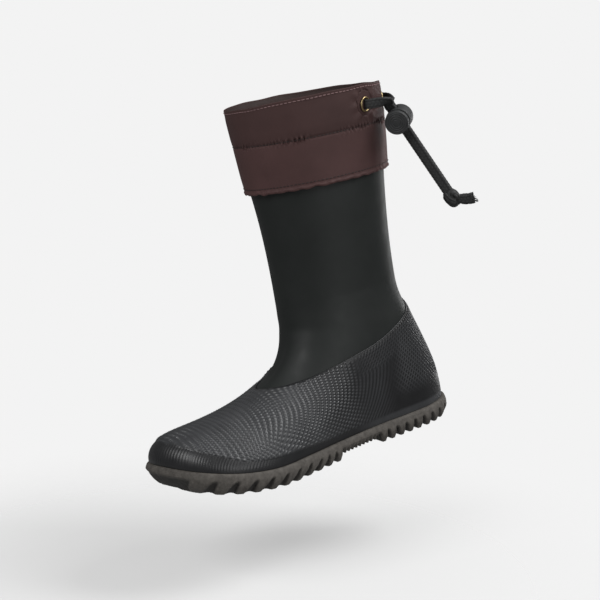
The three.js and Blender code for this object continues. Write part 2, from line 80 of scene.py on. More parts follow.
SOLE_PLAN = [
    [142.5, 0], [131, -20], [108, -32.5], [80, -35], [48, -35.5],
    [12, -39.5], [-28, -46], [-68, -51.5], [-105, -46.5], [-130, -29],
    [-142.5, 6], [-131, 36], [-106, 48.5], [-70, 51.5], [-30, 44.5],
    [10, 35.5], [48, 31.5], [80, 31.5], [108, 29.5], [131, 19],
]  # fmt: skip
TOP_LINE = [
    [111.5, 0, 107.5], [107.5, -16, 102.5], [95, -30, 97], [76, -37.5, 90.5], [54, -39.5, 83.5],
    [31, -39.5, 79], [10, -37, 75], [-10, -31, 71], [-26, -21.5, 68.5], [-37, -9.5, 67.5],
    [-39, 2, 66.5], [-32, 12.5, 66.8], [-15.5, 22, 69], [-3, 30.5, 72.5], [12, 35.5, 76],
    [31, 38, 80.5], [54, 38, 84.5], [76, 35.5, 91], [95, 29, 97.5], [107.5, 16, 103],
]  # fmt: skip
# Distance from the toe along the parameter, then how the upper leaves the sole and meets the top line.
STATIONS = {  # lengths in millimetres, all but at, share and lift
    "at": [0, 0.15, 0.25, 0.5],
    "wall": [30, 10, 26, 27],
    "bulge": [-3.5, 1.5, 5, 2],
    "share": [0.58, 0.32, 0.25, 0.38],
    "drop": [25, 27, 26, 29],
    "lift": [0.43, 0.45, 0.6, 0.3],
    "hang": [41, 26, 20, 11],
}


# ---- Small maths ----
def smoothstep(x, low, high):
    t = np.clip((np.asarray(x, float) - low) / (high - low), 0, 1)
    return t * t * (3 - 2 * t)


def fade(x, low, high):
    return 1 - smoothstep(x, low, high)


def hill(x, width):
    return np.exp(-((x / width) ** 2))


def lerp(a, b, t):
    return a + (b - a) * t


def unit(v):
    return v / np.linalg.norm(v, axis=-1, keepdims=True)


def bump(x, sharp=1.0):
    """A row of round bumps, one for each whole number."""
    return (0.5 + 0.5 * np.cos(2 * np.pi * x)) ** sharp


def around(count):
    return np.arange(count) / count


def waves(turn, low, high, seed, drift=0.0):
    """Irregular ripples round a closed loop, about -1 to 1. drift slides each ripple by its own amount."""
    draw = np.random.default_rng(seed)
    total = 0.0
    for cycles in draw.integers(low, high, 10):
        total = total + np.cos(cycles * turn + draw.uniform(0, 6.28) + drift * draw.normal())
    return total / 3.2


# ---- Curves ----
def closed_curve(points):
    knots = np.array(points, float)
    count = len(knots)

    def at(u):
        s = np.mod(np.asarray(u, float), 1) * count
        i = np.floor(s).astype(int)
        w = (s - i)[..., None]
        a, b, c, d = (knots[(i + k) % count] for k in (-1, 0, 1, 2))
        return b + 0.5 * w * (c - a + w * (2 * a - 5 * b + 4 * c - d + w * (3 * (b - c) + d - a)))

    return at


def open_curve(points, samples=40):
    """A smooth curve through the points, and the share of the way along it of each of its samples."""
    p = np.array(points, float)
    p = np.vstack([2 * p[0] - p[1], p, 2 * p[-1] - p[-2]])
    w = np.linspace(0, 1, samples, endpoint=False)[:, None]
    parts = []
    for a, b, c, d in zip(p, p[1:], p[2:], p[3:]):
        before, here, after = (np.linalg.norm(v) ** 0.5 for v in (b - a, c - b, d - c))
        start = ((b - a) / before - (c - a) / (before + here) + (c - b) / here) * here
        end = ((c - b) / here - (d - b) / (here + after) + (d - c) / after) * here
        bend, twist = 3 * (c - b) - 2 * start - end, 2 * (b - c) + start + end
        parts.append(b + w * (start + w * (bend + w * twist)))
    line = np.vstack([*parts, p[-2:-1]])
    return line, np.linspace(0, 1, len(line))


def evenly(line, spacing, *others):
    """The line again with its points evenly spaced, and any values that belong to its points."""
    run = np.concatenate([[0], np.cumsum(np.linalg.norm(np.diff(line, axis=0), axis=1))])
    at = np.linspace(0, run[-1], max(2, round(run[-1] / spacing) + 1))
    values = [np.interp(at, run, o) for o in others]
    return np.stack([np.interp(at, run, line[:, k]) for k in range(3)], axis=1), at, *values


plan_curve = closed_curve([[x, y, 0] for x, y in SOLE_PLAN])
top_line = closed_curve(TOP_LINE)
_plan = plan_curve(np.linspace(0, 1, 401))
plan_middle = (_plan.min(0) + _plan.max(0)) / 2
plan_scale = np.array([SOLE_LENGTH, SOLE_WIDTH, 1]) / np.maximum(np.ptp(_plan, axis=0), 1)


def plan(u):
    return (plan_curve(u) - plan_middle) * plan_scale


def outward(curve, u):
    along = curve(np.asarray(u) + 1e-3) - curve(np.asarray(u) - 1e-3)
    return unit(np.stack([-along[..., 1], along[..., 0], 0 * along[..., 0]], axis=-1))


def sole_edge(u, inset):
    return plan(u) - np.asarray(inset)[..., None] * outward(plan, u)


def sole_height(x, h):
    """Height of a level of the sole that is h above the ground at the heel."""
    share = (np.maximum(0, SPRING_START - x) / (SOLE_LENGTH / 2 + SPRING_START)) ** 1.8
    return h + (TOE_SPRING_BOTTOM + (TOE_SPRING_TOP - TOE_SPRING_BOTTOM) * h / SOLE_THICKNESS) * share


def station(u, key):
    at = np.abs(np.mod(u, 1) - 0.5)
    value = np.full_like(at, STATIONS[key][0], dtype=float)
    places, values = STATIONS["at"], STATIONS[key]
    for a, b, low, high in zip(values, values[1:], places, places[1:]):
        value = value + (b - a) * smoothstep(at, low, high)
    return value


# ---- The moulded surface of the boot ----
def leg_point(u, z, depth):
    turn = 2 * np.pi * u + 0.3 * np.sin(2 * np.pi * u)
    length = 54.8 + 0.0011 * (z - LEG_NARROWEST) ** 2 - depth
    width = 38.2 + 0.065 * (z - ANKLE_HEIGHT) - depth
    return np.stack([LEG_CENTRE + length * np.cos(turn), -width * np.sin(turn), z + 0 * u], axis=-1)


def bezier(a, b, c, d, t):
    t = t[..., None]
    return (1 - t) ** 3 * a + 3 * t * (1 - t) ** 2 * b + 3 * t * t * (1 - t) * c + t**3 * d


def upper_point(u, v, depth, top=SHAFT_TOP):
    """v runs 0 to 1 over the foot, 1 to 2 round the ankle and 2 to 3 up the leg. depth is inwards."""
    u, v, depth = np.broadcast_arrays(np.asarray(u, float), np.asarray(v, float), np.asarray(depth, float))
    lean = outward(plan, u)
    bulge = station(u, "bulge")[..., None]
    foot = sole_edge(u, UPPER_INSET + depth)
    foot[..., 2] = sole_height(foot[..., 0], SOLE_THICKNESS) + GAP
    wall = np.maximum(station(u, "wall") - 1.4 * depth, 5)
    lower = foot + bulge * lean + wall[..., None] * Z
    edge = top_line(u)
    reach = (sole_edge(u, np.full_like(u, UPPER_INSET)) - edge) * [1, 1, 0] * station(u, "share")[..., None]
    reach = reach + 0.4 * bulge * lean - station(u, "drop")[..., None] * Z
    inward = -outward(top_line, u)
    slope = np.arctan2(-reach[..., 2], np.maximum(0, -(reach * inward).sum(-1)))[..., None]
    edge = edge - depth[..., None] * (-np.sin(slope) * inward + np.cos(slope) * Z)
    over_foot = bezier(foot, lower, edge + reach, edge, np.clip(v, 0, 1))
    end = leg_point(u, np.full_like(u, ANKLE_HEIGHT), depth)
    under = end - station(u, "hang")[..., None] * Z
    into = edge - station(u, "lift")[..., None] * reach
    at_ankle = bezier(edge, into, under, end, np.clip(v - 1, 0, 1))
    up_leg = leg_point(u, lerp(ANKLE_HEIGHT, top, np.clip(v - 2, 0, 1)), depth)
    v = v[..., None]
    return np.where(v <= 1, over_foot, np.where(v <= 2, at_ankle, up_leg))


# ---- Meshes ----
def add_attribute(mesh, name, kind, key, values):
    values = np.ravel(values).astype(np.float32)
    mesh.attributes.new(name, kind, "POINT").data.foreach_set(key, values)


def mesh_object(name, points, faces, material, sharp=50, lay=None, tone=None):
    """A piece from points in millimetres. lay is each point's place on its cloth, tone darkens its colour, 0
    to 1: mostly painted shade, while the floor reads it as how clear it is.
    """
    mesh = bpy.data.meshes.new(name)
    mesh.from_pydata((np.asarray(points, float) * MM).tolist(), [], [list(f) for f in faces])
    if lay is not None:
        add_attribute(mesh, "lay", "FLOAT_VECTOR", "vector", lay)
    if tone is not None:
        add_attribute(mesh, "tone", "FLOAT", "value", tone)
    mesh.validate()
    mesh.shade_smooth()
    mesh.set_sharp_from_angle(angle=math.radians(sharp))
    mesh.materials.append(material)
    obj = bpy.data.objects.new(name, mesh)
    bpy.context.scene.collection.objects.link(obj)
    return obj


def grid_faces(rows, columns, close_rows=False, close_columns=True, start=0):
    i = np.arange(rows if close_rows else rows - 1)[:, None]
    j = np.arange(columns if close_columns else columns - 1)[None, :]
    a, b = start + i * columns, start + ((i + 1) % rows) * columns
    k = (j + 1) % columns
    return np.stack([a + j, b + j, b + k, a + k], axis=-1).reshape(-1, 4)


def torus(name, grid, material, **more):
    """A closed wall whose rows run up its outer face and down its inner face."""
    rows, columns = grid.shape[:2]
    faces = grid_faces(rows, columns, close_rows=True).tolist()
    return mesh_object(name, grid.reshape(-1, 3), faces, material, **more)


def capped(name, grid, material, **more):
    """A tube of closed rings with a point in the middle of each end."""
    rows, columns = grid.shape[:2]
    points = np.vstack([grid.reshape(-1, 3), grid[0].mean(0), grid[-1].mean(0)])
    first, last = rows * columns, rows * columns + 1
    faces = grid_faces(rows, columns).tolist()
    j = np.arange(columns)
    faces += np.stack([j, (j + 1) % columns, 0 * j + first], axis=1).tolist()
    top = (rows - 1) * columns
    faces += np.stack([top + (j + 1) % columns, top + j, 0 * j + last], axis=1).tolist()
    for key in ("lay", "tone"):
        if key in more:
            values = np.asarray(more[key], float).reshape(rows * columns, -1)
            more[key] = np.vstack([values, values[:1], values[-1:]])
    return mesh_object(name, points, faces, material, **more)


def cloth_place(turn, grid, size):
    """Each point's place on its cloth: round it, turn times size, then up it."""
    turn = np.broadcast_to(turn, grid.shape[:2])
    return np.stack([turn * size, grid[..., 2], 0 * turn], axis=-1)


def grid_normals(grid):
    """Outward normals of a grid whose rows go up and whose columns go round clockwise."""
    up = np.gradient(grid, axis=0)
    along = np.roll(grid, -1, axis=1) - np.roll(grid, 1, axis=1)
    return unit(np.cross(along, up) * -1)


def joined(name, parts, material, **more):
    """Several (points, faces) as one piece."""
    points, faces, count = [], [], 0
    for some_points, some_faces in parts:
        points.append(some_points)
        faces += (np.asarray(some_faces) + count).tolist()
        count += len(some_points)
    return mesh_object(name, np.vstack(points), faces, material, **more)


def cut(obj, cutter):
    """Cuts the cutter's shape out of obj and removes the cutter."""
    modifier = obj.modifiers.new("cut", "BOOLEAN")
    modifier.object = cutter
    modifier.solver = "EXACT"
    bpy.context.view_layer.update()
    made = bpy.data.meshes.new_from_object(obj.evaluated_get(bpy.context.evaluated_depsgraph_get()))
    obj.modifiers.clear()
    obj.data = made
    bpy.data.objects.remove(cutter)


def fits(obj, body, slot, *nodes):
    """obj rides on the body and stands for the CAD nodes, which it hides. slot is not used."""
    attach(obj, body)
    if nodes:
        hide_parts(*nodes)
    return obj


# ---- Materials ----
def linear(r, g, b):
    """A colour on the 0 to 255 screen scale as the linear one that shaders take."""
    c = np.array([r, g, b]) / 255
    return (*np.where(c <= 0.04045, c / 12.92, ((c + 0.055) / 1.055) ** 2.4), 1)


def node(tree, kind, inputs=None, **props):
    made = tree.nodes.new(kind)
    for key, value in props.items():
        setattr(made, key, value)
    for key, value in (inputs or {}).items():
        if isinstance(value, bpy.types.NodeSocket):
            tree.links.new(value, made.inputs[key])
        else:
            made.inputs[key].default_value = value
    return made


def maths(tree, operation, a, b=0.0):
    return node(tree, "ShaderNodeMath", {0: a, 1: b}, operation=operation).outputs[0]


def noise(tree, where, scale, detail=3.0, rough=0.55):
    inputs = {"Vector": where, "Scale": scale, "Detail": detail, "Roughness": rough}
    return node(tree, "ShaderNodeTexNoise", inputs).outputs["Fac"]


def spread(tree, value, low, high, start=0.3, end=0.7):
    inputs = {"Value": value, "From Min": start, "From Max": end, "To Min": low, "To Max": high}
    return node(tree, "ShaderNodeMapRange", inputs).outputs["Result"]


def between(tree, value, dark, light):
    inputs = {"Factor": value, 6: linear(*dark), 7: linear(*light)}
    return node(tree, "ShaderNodeMix", inputs, data_type="RGBA").outputs[2]


def raised(tree, height, distance, strength=1.0, under=None):
    inputs = {"Height": height, "Distance": distance * MM, "Strength": strength}
    if under is not None:
        inputs["Normal"] = under
    return node(tree, "ShaderNodeBump", inputs).outputs["Normal"]


# Dark and light ends of the colour, range of roughness, (scale in 1/m, height in mm) of the fine bump,
# then (scale in 1/m, detail) of the mottling.
MOTTLING = (60, 4)
FINISHES = {
    "galosh_rubber": ((48, 49, 51), (58, 59, 61), (0.34, 0.44), (1500, 0.03), MOTTLING),
    "shaft_rubber": ((26, 29, 28), (31, 34, 33), (0.5, 0.6), (2200, 0.02), (25, 3)),
    "sole_rubber": ((66, 62, 58), (92, 88, 83), (0.74, 0.9), (900, 0.16), (260, 6)),
    "cuff_nylon": ((72, 53, 52), (84, 62, 61), (0.5, 0.62), (700, 0.04), (18, 3)),
    "cuff_thread": ((118, 92, 92), (150, 120, 120), (0.5, 0.7), (4000, 0.03), MOTTLING),
    "dark_thread": ((26, 20, 19), (36, 28, 27), (0.6, 0.75), (4000, 0.03), MOTTLING),
    "cord_braid": ((40, 40, 41), (56, 57, 57), (0.6, 0.75), (3500, 0.08), (300, 3)),
    "lock_plastic": ((36, 37, 38), (46, 47, 48), (0.5, 0.62), (1700, 0.08), (200, 4)),
    "eyelet_brass": ((150, 130, 92), (188, 170, 128), (0.3, 0.45), (1200, 0.02), MOTTLING),
    "spring_steel": ((140, 141, 142), (170, 171, 172), (0.25, 0.4), (3000, 0.01), MOTTLING),
    "felt": ((104, 101, 94), (138, 134, 126), (0.92, 1.0), (1400, 0.3), (400, 6)),
    "knit_lining": ((56, 56, 54), (74, 74, 71), (0.86, 0.96), (900, 0.1), (90, 4)),
    "footbed_foam": ((66, 67, 61), (86, 87, 80), (0.85, 0.95), (1100, 0.15), (200, 5)),
    "fibre_board": ((140, 124, 96), (170, 152, 120), (0.8, 0.92), (1600, 0.08), (500, 6)),
    "shank_plastic": ((50, 58, 52), (64, 72, 64), (0.42, 0.55), (900, 0.04), (300, 4)),
}
# The colour where the piece's tone is 1, and how much of it shows. It paints shade into hollows and shaded
# faces; on the cuff it also gives the darker fabric above the seam.
SHADES = {
    "galosh_rubber": ((9, 9, 11), 0.95),
    "sole_rubber": ((26, 25, 24), 0.85),
    "cuff_nylon": ((46, 37, 35), 0.9),
    "cord_braid": ((7, 7, 8), 1.0),
}
WEAVES = {"cuff_nylon": (0.62, 0.05), "knit_lining": (1.5, 0.25)}  # pitch and height in mm
SOCKETS = {
    "shaft_rubber": {"Specular IOR Level": 0.3},
    "cuff_nylon": {
        "Specular IOR Level": 0.12,
        "Sheen Weight": 0.04,
        "Sheen Roughness": 0.4,
        "Sheen Tint": linear(190, 150, 148),
    },
    "eyelet_brass": {"Metallic": 1.0},
    "spring_steel": {"Metallic": 1.0},
    "felt": {"Sheen Weight": 0.4},
    "knit_lining": {"Sheen Weight": 0.3},
}


def attribute(tree, name, output="Vector"):
    return node(tree, "ShaderNodeAttribute", attribute_name=name).outputs[output]


def over(tree, shader, socket, make):
    """Puts another node after what feeds the shader's socket: make takes the old output, gives the new."""
    old = shader.inputs[socket].links[0].from_socket
    tree.links.new(make(old), shader.inputs[socket])


def shaded_by_tone(tree, shader, dark, amount):
    """Darkens the colour towards dark where the piece's tone is high: painted shade on most pieces, and a
    darker fabric band on the cuff.
    """

    def mixed(old):
        tone = maths(tree, "MULTIPLY", attribute(tree, "tone", "Fac"), amount)
        inputs = {"Factor": tone, 6: old, 7: linear(*dark)}
        return node(tree, "ShaderNodeMix", inputs, data_type="RGBA").outputs[2]

    over(tree, shader, "Base Color", mixed)


def woven(tree, shader, pitch, height):
    """A plain weave on the piece's cloth coordinates."""
    place = node(tree, "ShaderNodeSeparateXYZ", {"Vector": attribute(tree, "lay")})
    turns = 2 * math.pi / pitch
    across, along = (maths(tree, "SINE", maths(tree, "MULTIPLY", place.outputs[k], turns)) for k in (0, 1))
    threads = maths(tree, "MULTIPLY", across, along)
    over(tree, shader, "Normal", lambda old: raised(tree, threads, height, 0.6, old))


def make_material(name):
    """A mottled finish, with the weave, the shade and the sockets that its name has."""
    dark, light, rough, grain, mottling = FINISHES[name]
    made = bpy.data.materials.new(name)
    made.use_nodes = True
    tree = made.node_tree
    shader = tree.nodes["Principled BSDF"]
    where = node(tree, "ShaderNodeTexCoord").outputs["Object"]
    patches = spread(tree, noise(tree, where, *mottling), 0, 1)
    tree.links.new(between(tree, patches, dark, light), shader.inputs["Base Color"])
    tree.links.new(spread(tree, noise(tree, where, mottling[0] * 3.1), *rough), shader.inputs["Roughness"])
    fine = noise(tree, where, grain[0], 2.0)
    tree.links.new(raised(tree, fine, grain[1]), shader.inputs["Normal"])
    if name in WEAVES:
        woven(tree, shader, *WEAVES[name])
    if name in SHADES:
        shaded_by_tone(tree, shader, *SHADES[name])
    for key, value in SOCKETS.get(name, {}).items():
        shader.inputs[key].default_value = value
    return made


materials = {name: make_material(name) for name in FINISHES}


# ---- Camera ----
CAMERA_HEIGHT = math.radians(10.48)  # as an angle over the boot's level


def photo_camera():
    """The camera looks at the boot from the toe's outer side, a little above, and is rolled."""
    azimuth, roll = math.radians(-33.79), math.radians(9.99)
    target = Vector((15.2, 0, 126.9)) * MM
    distance = 1.247
    level_back = Vector((math.sin(azimuth), -math.cos(azimuth), 0))
    back = level_back * math.cos(CAMERA_HEIGHT) + Vector((0, 0, math.sin(CAMERA_HEIGHT)))
    level = Vector((math.cos(azimuth), math.sin(azimuth), 0))
    upright = back.cross(level)
    right = level * math.cos(roll) - upright * math.sin(roll)
    up = upright * math.cos(roll) + level * math.sin(roll)
    data = bpy.data.cameras.new("camera")
    data.lens = 92.5
    data.sensor_width = 36
    data.clip_start = 0.05
    camera = bpy.data.objects.new("camera", data)
    bpy.context.scene.collection.objects.link(camera)
    turn = Matrix((right, up, back)).transposed()
    camera.matrix_world = Matrix.Translation(target + back * distance) @ turn.to_4x4()
    bpy.context.scene.camera = camera
    return target, right, up, back


target, image_right, image_up, image_back = photo_camera()


# ---- Cuff surface and its own frame ----
CUFF = {"centre": (52.3, 52), "length": (64.3, 68.7), "width": (46.5, 53.2)}  # at its bottom and top


def cuff_point(turn, z, depth):
    s = (z - CUFF_BOTTOM) / (CUFF_TOP - CUFF_BOTTOM)
    centre, length, width = (lerp(*CUFF[key], s) for key in ("centre", "length", "width"))
    x = centre + (length - depth) * np.cos(turn)
    return np.stack([x, -(width - depth) * np.sin(turn), z + 0 * turn], axis=-1)


def cuff_frame(turn):
    """Columns side, up and out of the fabric at an eyelet, then the place."""
    turn = np.asarray(turn, float)
    here = cuff_point(turn, EYELET_HEIGHT, 0)
    up = unit(cuff_point(turn, EYELET_HEIGHT + 1, 0) - here)
    along = cuff_point(turn + 0.01, EYELET_HEIGHT, 0) - cuff_point(turn - 0.01, EYELET_HEIGHT, 0)
    out = unit(np.cross(up, along))
    side = unit(np.cross(up, out))
    return np.stack([side, up, out]), here


EYELET_TURNS = {"near": math.radians(70), "far": math.radians(18)}

# ---- Drawcord and cord lock ----
# The lock's own frame: X runs from the button into the barrel, Y down the hanging cord.
LOCK_CENTRE = np.array([101.8, -55, 256.7])
cord_way = unit(np.array([0.368, -0.209, -0.906]))
barrel_way = np.array([0.763, 0.624, 0.167])
barrel_way = unit(barrel_way - barrel_way @ cord_way * cord_way)
across_cord = np.cross(barrel_way, cord_way)
lock_axes = np.stack([barrel_way, cord_way, across_cord])
STRAND_OFFSET = CORD_THICKNESS / 2 + GAP / 2
KNOT_RADII = [5.6, 8, 6.5]
KNOT_LOOPS = [1.0, 2.645, 1.12]  # stretch of the trefoil's loops
KNOT_CORD = (3.1, 2.0)  # half the width and thickness of its cord
STRAND_END = KNOT_DISTANCE - KNOT_RADII[1] - GAP
BENDS = {
    "near": [[80.5, -56.4, 273.4], [86.6, -58.6, 273.2], [92, -57.3, 272.4]],
    "far": [[120.2, -21, 272.6], [116, -28.8, 271.8], [110.6, -36.5, 271.4], [104.8, -44, 271.8]],
}
BRAID_COLUMNS = 8  # around the cord
BRAID_STITCH = 3.0
CORD_POINTS = 70
# Painted shade: the cord darkens by this less each point's braid height, so the hollows between the stitches
# are darkest.
HOLLOW_PAINTED_SHADE = 1.05  # of the hollows between the stitches
INTO_KNOT = 2.5
FRAY_HAIRS = 60


def in_lock(points):
    return LOCK_CENTRE + np.asarray(points, float) @ lock_axes


def along_cord(distance, back=0.0):
    return LOCK_CENTRE + distance * cord_way + back * barrel_way


def cord_section():
    """Points round the flat cord, (across, through), and how far round each is in braid columns."""
    angle = 2 * np.pi * around(CORD_POINTS)
    x = np.sign(np.cos(angle)) * np.abs(np.cos(angle)) ** 0.6 * CORD_WIDTH / 2
    y = np.sign(np.sin(angle)) * np.abs(np.sin(angle)) ** 0.6 * CORD_THICKNESS / 2
    steps = np.hypot(x - np.roll(x, 1), y - np.roll(y, 1))
    run = np.cumsum(steps) / steps.sum()
    return x, y, run * BRAID_COLUMNS


def braid_height(run, column):
    """Height of slanted stitches that lean the other way in each next column."""
    inside = column % 1
    lean = np.where(np.floor(column) % 2 == 0, 1, -1)
    stitch = bump(run / BRAID_STITCH + 0.45 * lean * inside, 0.7)
    return np.sin(np.pi * inside) ** 0.6 * (0.45 + 0.55 * stitch)


def flat_cord(name, line, widths, spacing=0.36, depth=0.36, thinner=None):
    """A braided flat cord along a line, with the direction of its width at each of the line's points."""
    path, run, *width = evenly(line, spacing, *np.transpose(widths))
    ahead = unit(np.gradient(path, axis=0))
    face = unit(np.cross(np.stack(width, axis=1), ahead))
    width = np.cross(ahead, face)
    x, y, column = cord_section()
    braid = braid_height(run[:, None], column[None, :])
    height = depth * (braid - 0.75)
    out_x, out_y = x / CORD_WIDTH**1.2, y / CORD_THICKNESS**1.6
    size = np.hypot(out_x, out_y)
    x = x[None, :] + height * (out_x / size)
    y = y[None, :] + height * (out_y / size)
    if thinner is not None:
        share = thinner(run / run[-1])[:, None]
        x, y = x * share, y * share
    grid = path[:, None] + x[..., None] * width[:, None] + y[..., None] * face[:, None]
    # The tone is painted shade, darkest in the braid's hollows.
    return capped(name, grid, materials["cord_braid"], sharp=80, tone=HOLLOW_PAINTED_SHADE - braid), path


def strand(name):
    back = -STRAND_OFFSET if name == "near" else STRAND_OFFSET
    axes, here = cuff_frame(EYELET_TURNS[name])
    through = [here - 0.6 * axes[2], here + 2.4 * axes[2]]
    straight = [along_cord(s, back) for s in (-9, 0, 20, 45, STRAND_END, STRAND_END + INTO_KNOT)]
    line, share = open_curve([*through, *BENDS[name], along_cord(-14, 1.9 * back), *straight])
    turned_by = smoothstep(share, 0.02, 0.45)[:, None]
    widths = lerp(Z, -across_cord, turned_by)
    return flat_cord(f"drawcord_{name}", line, widths)


def channel_run():
    """The cord inside the sewn channel, the long way round from one eyelet to the other."""
    near, far = EYELET_TURNS["near"], EYELET_TURNS["far"]
    turns = lerp(near + 0.14, far + 2 * np.pi - 0.14, np.linspace(0, 1, 120))
    line = cuff_point(turns, EYELET_HEIGHT, 4.0)
    return flat_cord("drawcord_in_channel", line, np.tile(Z, (120, 1)), spacing=0.8)[0]


def knot():
    """A tight overhand knot: a trefoil of cord pressed into an egg shape."""
    t = 2 * np.pi * np.linspace(0, 1, 240, endpoint=False)
    line = np.stack([np.sin(t) + 2 * np.sin(2 * t), -np.sin(3 * t), np.cos(t) - 2 * np.cos(2 * t)], axis=1)
    line = line * KNOT_LOOPS
    ahead = unit(np.roll(line, -1, axis=0) - np.roll(line, 1, axis=0))
    out = unit(line * [1, 0.5, 1])
    side = unit(np.cross(ahead, out))
    face = np.cross(side, ahead)
    angle = 2 * np.pi * around(48)
    run = np.concatenate([[0], np.cumsum(np.linalg.norm(np.diff(line, axis=0), axis=1))])
    column = around(48) * BRAID_COLUMNS
    braid = braid_height(run[:, None], column[None, :])
    height = 0.3 * (braid - 0.5)
    wide, thick = (half + height for half in KNOT_CORD)
    grid = line[:, None] + (wide * np.cos(angle))[..., None] * side[:, None]
    grid = grid + (thick * np.sin(angle))[..., None] * face[:, None]
    low, high = grid.reshape(-1, 3).min(0), grid.reshape(-1, 3).max(0)
    grid = (grid - (low + high) / 2) * (2 * np.array(KNOT_RADII) / (high - low))
    grid = in_lock(grid + [0, KNOT_DISTANCE, 0])
    rows, columns = grid.shape[:2]
    faces = grid_faces(rows, columns, close_rows=True).tolist()
    # The tone is painted shade, darkest in the braid's hollows.
    points, tone = grid.reshape(-1, 3), HOLLOW_PAINTED_SHADE - braid
    return mesh_object("overhand_knot", points, faces, materials["cord_braid"], sharp=80, tone=tone)


def tail(name, back, droop):
    start = np.array([back, KNOT_DISTANCE + 3.4, -4.4])
    end = start + [0.6 * back, 4.6 + 0.6 * droop, -10.0]
    line = in_lock([lerp(start, end, t) + [0, 0.8 * math.sin(3 * t), 0] for t in np.linspace(0, 1, 12)])

    def pinch(t):
        return 0.85 + 0.2 * smoothstep(t, 0, 0.4) + 0.1 * smoothstep(t, 0.6, 1)

    made, path = flat_cord(f"cord_end_{name}", line, np.tile(cord_way, (12, 1)), thinner=pinch)
    draw = np.random.default_rng(5 if name == "near" else 6)
    ahead = unit(path[-1] - path[-4])
    face = unit(np.cross(cord_way, ahead))
    hairs = []
    for _ in range(FRAY_HAIRS):
        x, y = draw.uniform(-0.52, 0.52) * CORD_WIDTH, draw.uniform(-0.42, 0.42) * CORD_THICKNESS
        root = path[-1] - 0.6 * ahead + x * cord_way + y * face
        tip = root + draw.uniform(1.0, 2.6) * unit(ahead + draw.normal(0, 0.28, 3))
        hairs.append(thread(root, tip, 0.13, 5))
    fray = joined(f"cord_fray_{name}", hairs, materials["cord_braid"])
    return made, fray


def thread(start, end, radius, sides=6, rise=None):
    """A short round thread as (points, faces), with its middle raised by the vector rise."""
    start, end = np.asarray(start, float), np.asarray(end, float)
    ahead = unit(end - start)
    side = unit(np.cross(ahead, [0.31, 0.42, 0.85]))
    face = np.cross(ahead, side)
    angle = 2 * np.pi * around(sides)
    circle = radius * (np.cos(angle)[:, None] * side + np.sin(angle)[:, None] * face)
    shares, sizes = [0, 0.1, 0.5, 0.9, 1], [0.35, 0.9, 1, 0.9, 0.35]
    lift = np.zeros(3) if rise is None else np.asarray(rise)
    rings = [lerp(start, end, t) + 4 * t * (1 - t) * lift + s * circle for t, s in zip(shares, sizes)]
    faces = grid_faces(len(rings), sides).tolist()
    faces = [[a, b, c] for a, b, c, _ in faces] + [[a, c, d] for a, _, c, d in faces]
    last = (len(rings) - 1) * sides
    faces += [[0, k + 1, k] for k in range(1, sides - 1)]
    faces += [[last, last + k, last + k + 1] for k in range(1, sides - 1)]
    return np.vstack(rings), faces


# ---- Turned pieces ----
def rounded(profile, radius, steps=4):
    """The profile again with each inner corner replaced by a short curve."""
    p = np.array(profile, float)
    out = [p[0]]
    for a, b, c in zip(p, p[1:], p[2:]):
        into, away = a - b, c - b
        r = min(radius, 0.45 * np.linalg.norm(into), 0.45 * np.linalg.norm(away))
        start, end = b + r * unit(into), b + r * unit(away)
        for t in np.linspace(0, 1, steps):
            out.append((1 - t) ** 2 * start + 2 * t * (1 - t) * b + t * t * end)
    out.append(p[-1])
    return np.array(out)


def turned(name, profile, segments, place, mat, closed=False, sharp=40):
    """A piece turned about its third axis from (radius, height) points. place takes local points home."""
    angle = 2 * np.pi * around(segments)
    r, h = profile[:, 0][:, None], profile[:, 1][:, None]
    grid = np.stack([r * np.cos(angle), r * np.sin(angle), h + 0 * angle], axis=-1)
    grid = place(grid.reshape(-1, 3)).reshape(grid.shape)
    return (torus if closed else capped)(name, grid, mat, sharp=sharp)


ON_AXIS = 0.02  # near enough to a turned piece's axis for its cap to close it
BARREL = {
    "radius": 10, "bore": 8.4, "pocket": 2.8,
    "mouth": -5.6, "boreEnd": 7.2, "pocketEnd": 9.4, "back": 11,
}  # fmt: skip
PLUNGER = {"radius": 8.1, "head": 9.6, "face": -12.4, "headBack": -8.2, "end": 4.6}
SLOT_HALF = 3.1
SLOT_HEIGHT = 4.5
RINGS = [3.0, 4.7, 6.4, 8.1]


def lock_place(points):
    """Local points turned about the barrel's axis, given as (round, round, along)."""
    p = np.asarray(points, float)
    return in_lock(np.stack([p[:, 2], p[:, 0], p[:, 1]], axis=1))


def slot_cutter(low, high):
    corners = [[x, y, z] for x in (low, high) for y in (-14, 14) for z in (-SLOT_HEIGHT, SLOT_HEIGHT)]
    faces = [[0, 1, 3, 2], [4, 6, 7, 5], [0, 4, 5, 1], [2, 3, 7, 6], [0, 2, 6, 4], [1, 5, 7, 3]]
    return mesh_object("slot_cutter", in_lock(corners), faces, materials["lock_plastic"])


def lock_body():
    b = BARREL
    outline = rounded(
        [
            [ON_AXIS, b["pocketEnd"]], [b["pocket"], b["pocketEnd"]], [b["pocket"], b["boreEnd"]],
            [b["bore"], b["boreEnd"]],
            [b["bore"], b["mouth"]], [b["radius"], b["mouth"]], [b["radius"], b["back"] - 1.6],
            [b["radius"] - 1.9, b["back"]], [5.2, b["back"]], [4.9, b["back"] - 0.35],
            [ON_AXIS, b["back"] - 0.35],
        ],
        0.7,
    )  # fmt: skip
    made = turned("lock_barrel", outline[::-1], 96, lock_place, materials["lock_plastic"])
    cut(made, slot_cutter(-SLOT_HALF, SLOT_HALF))
    return made


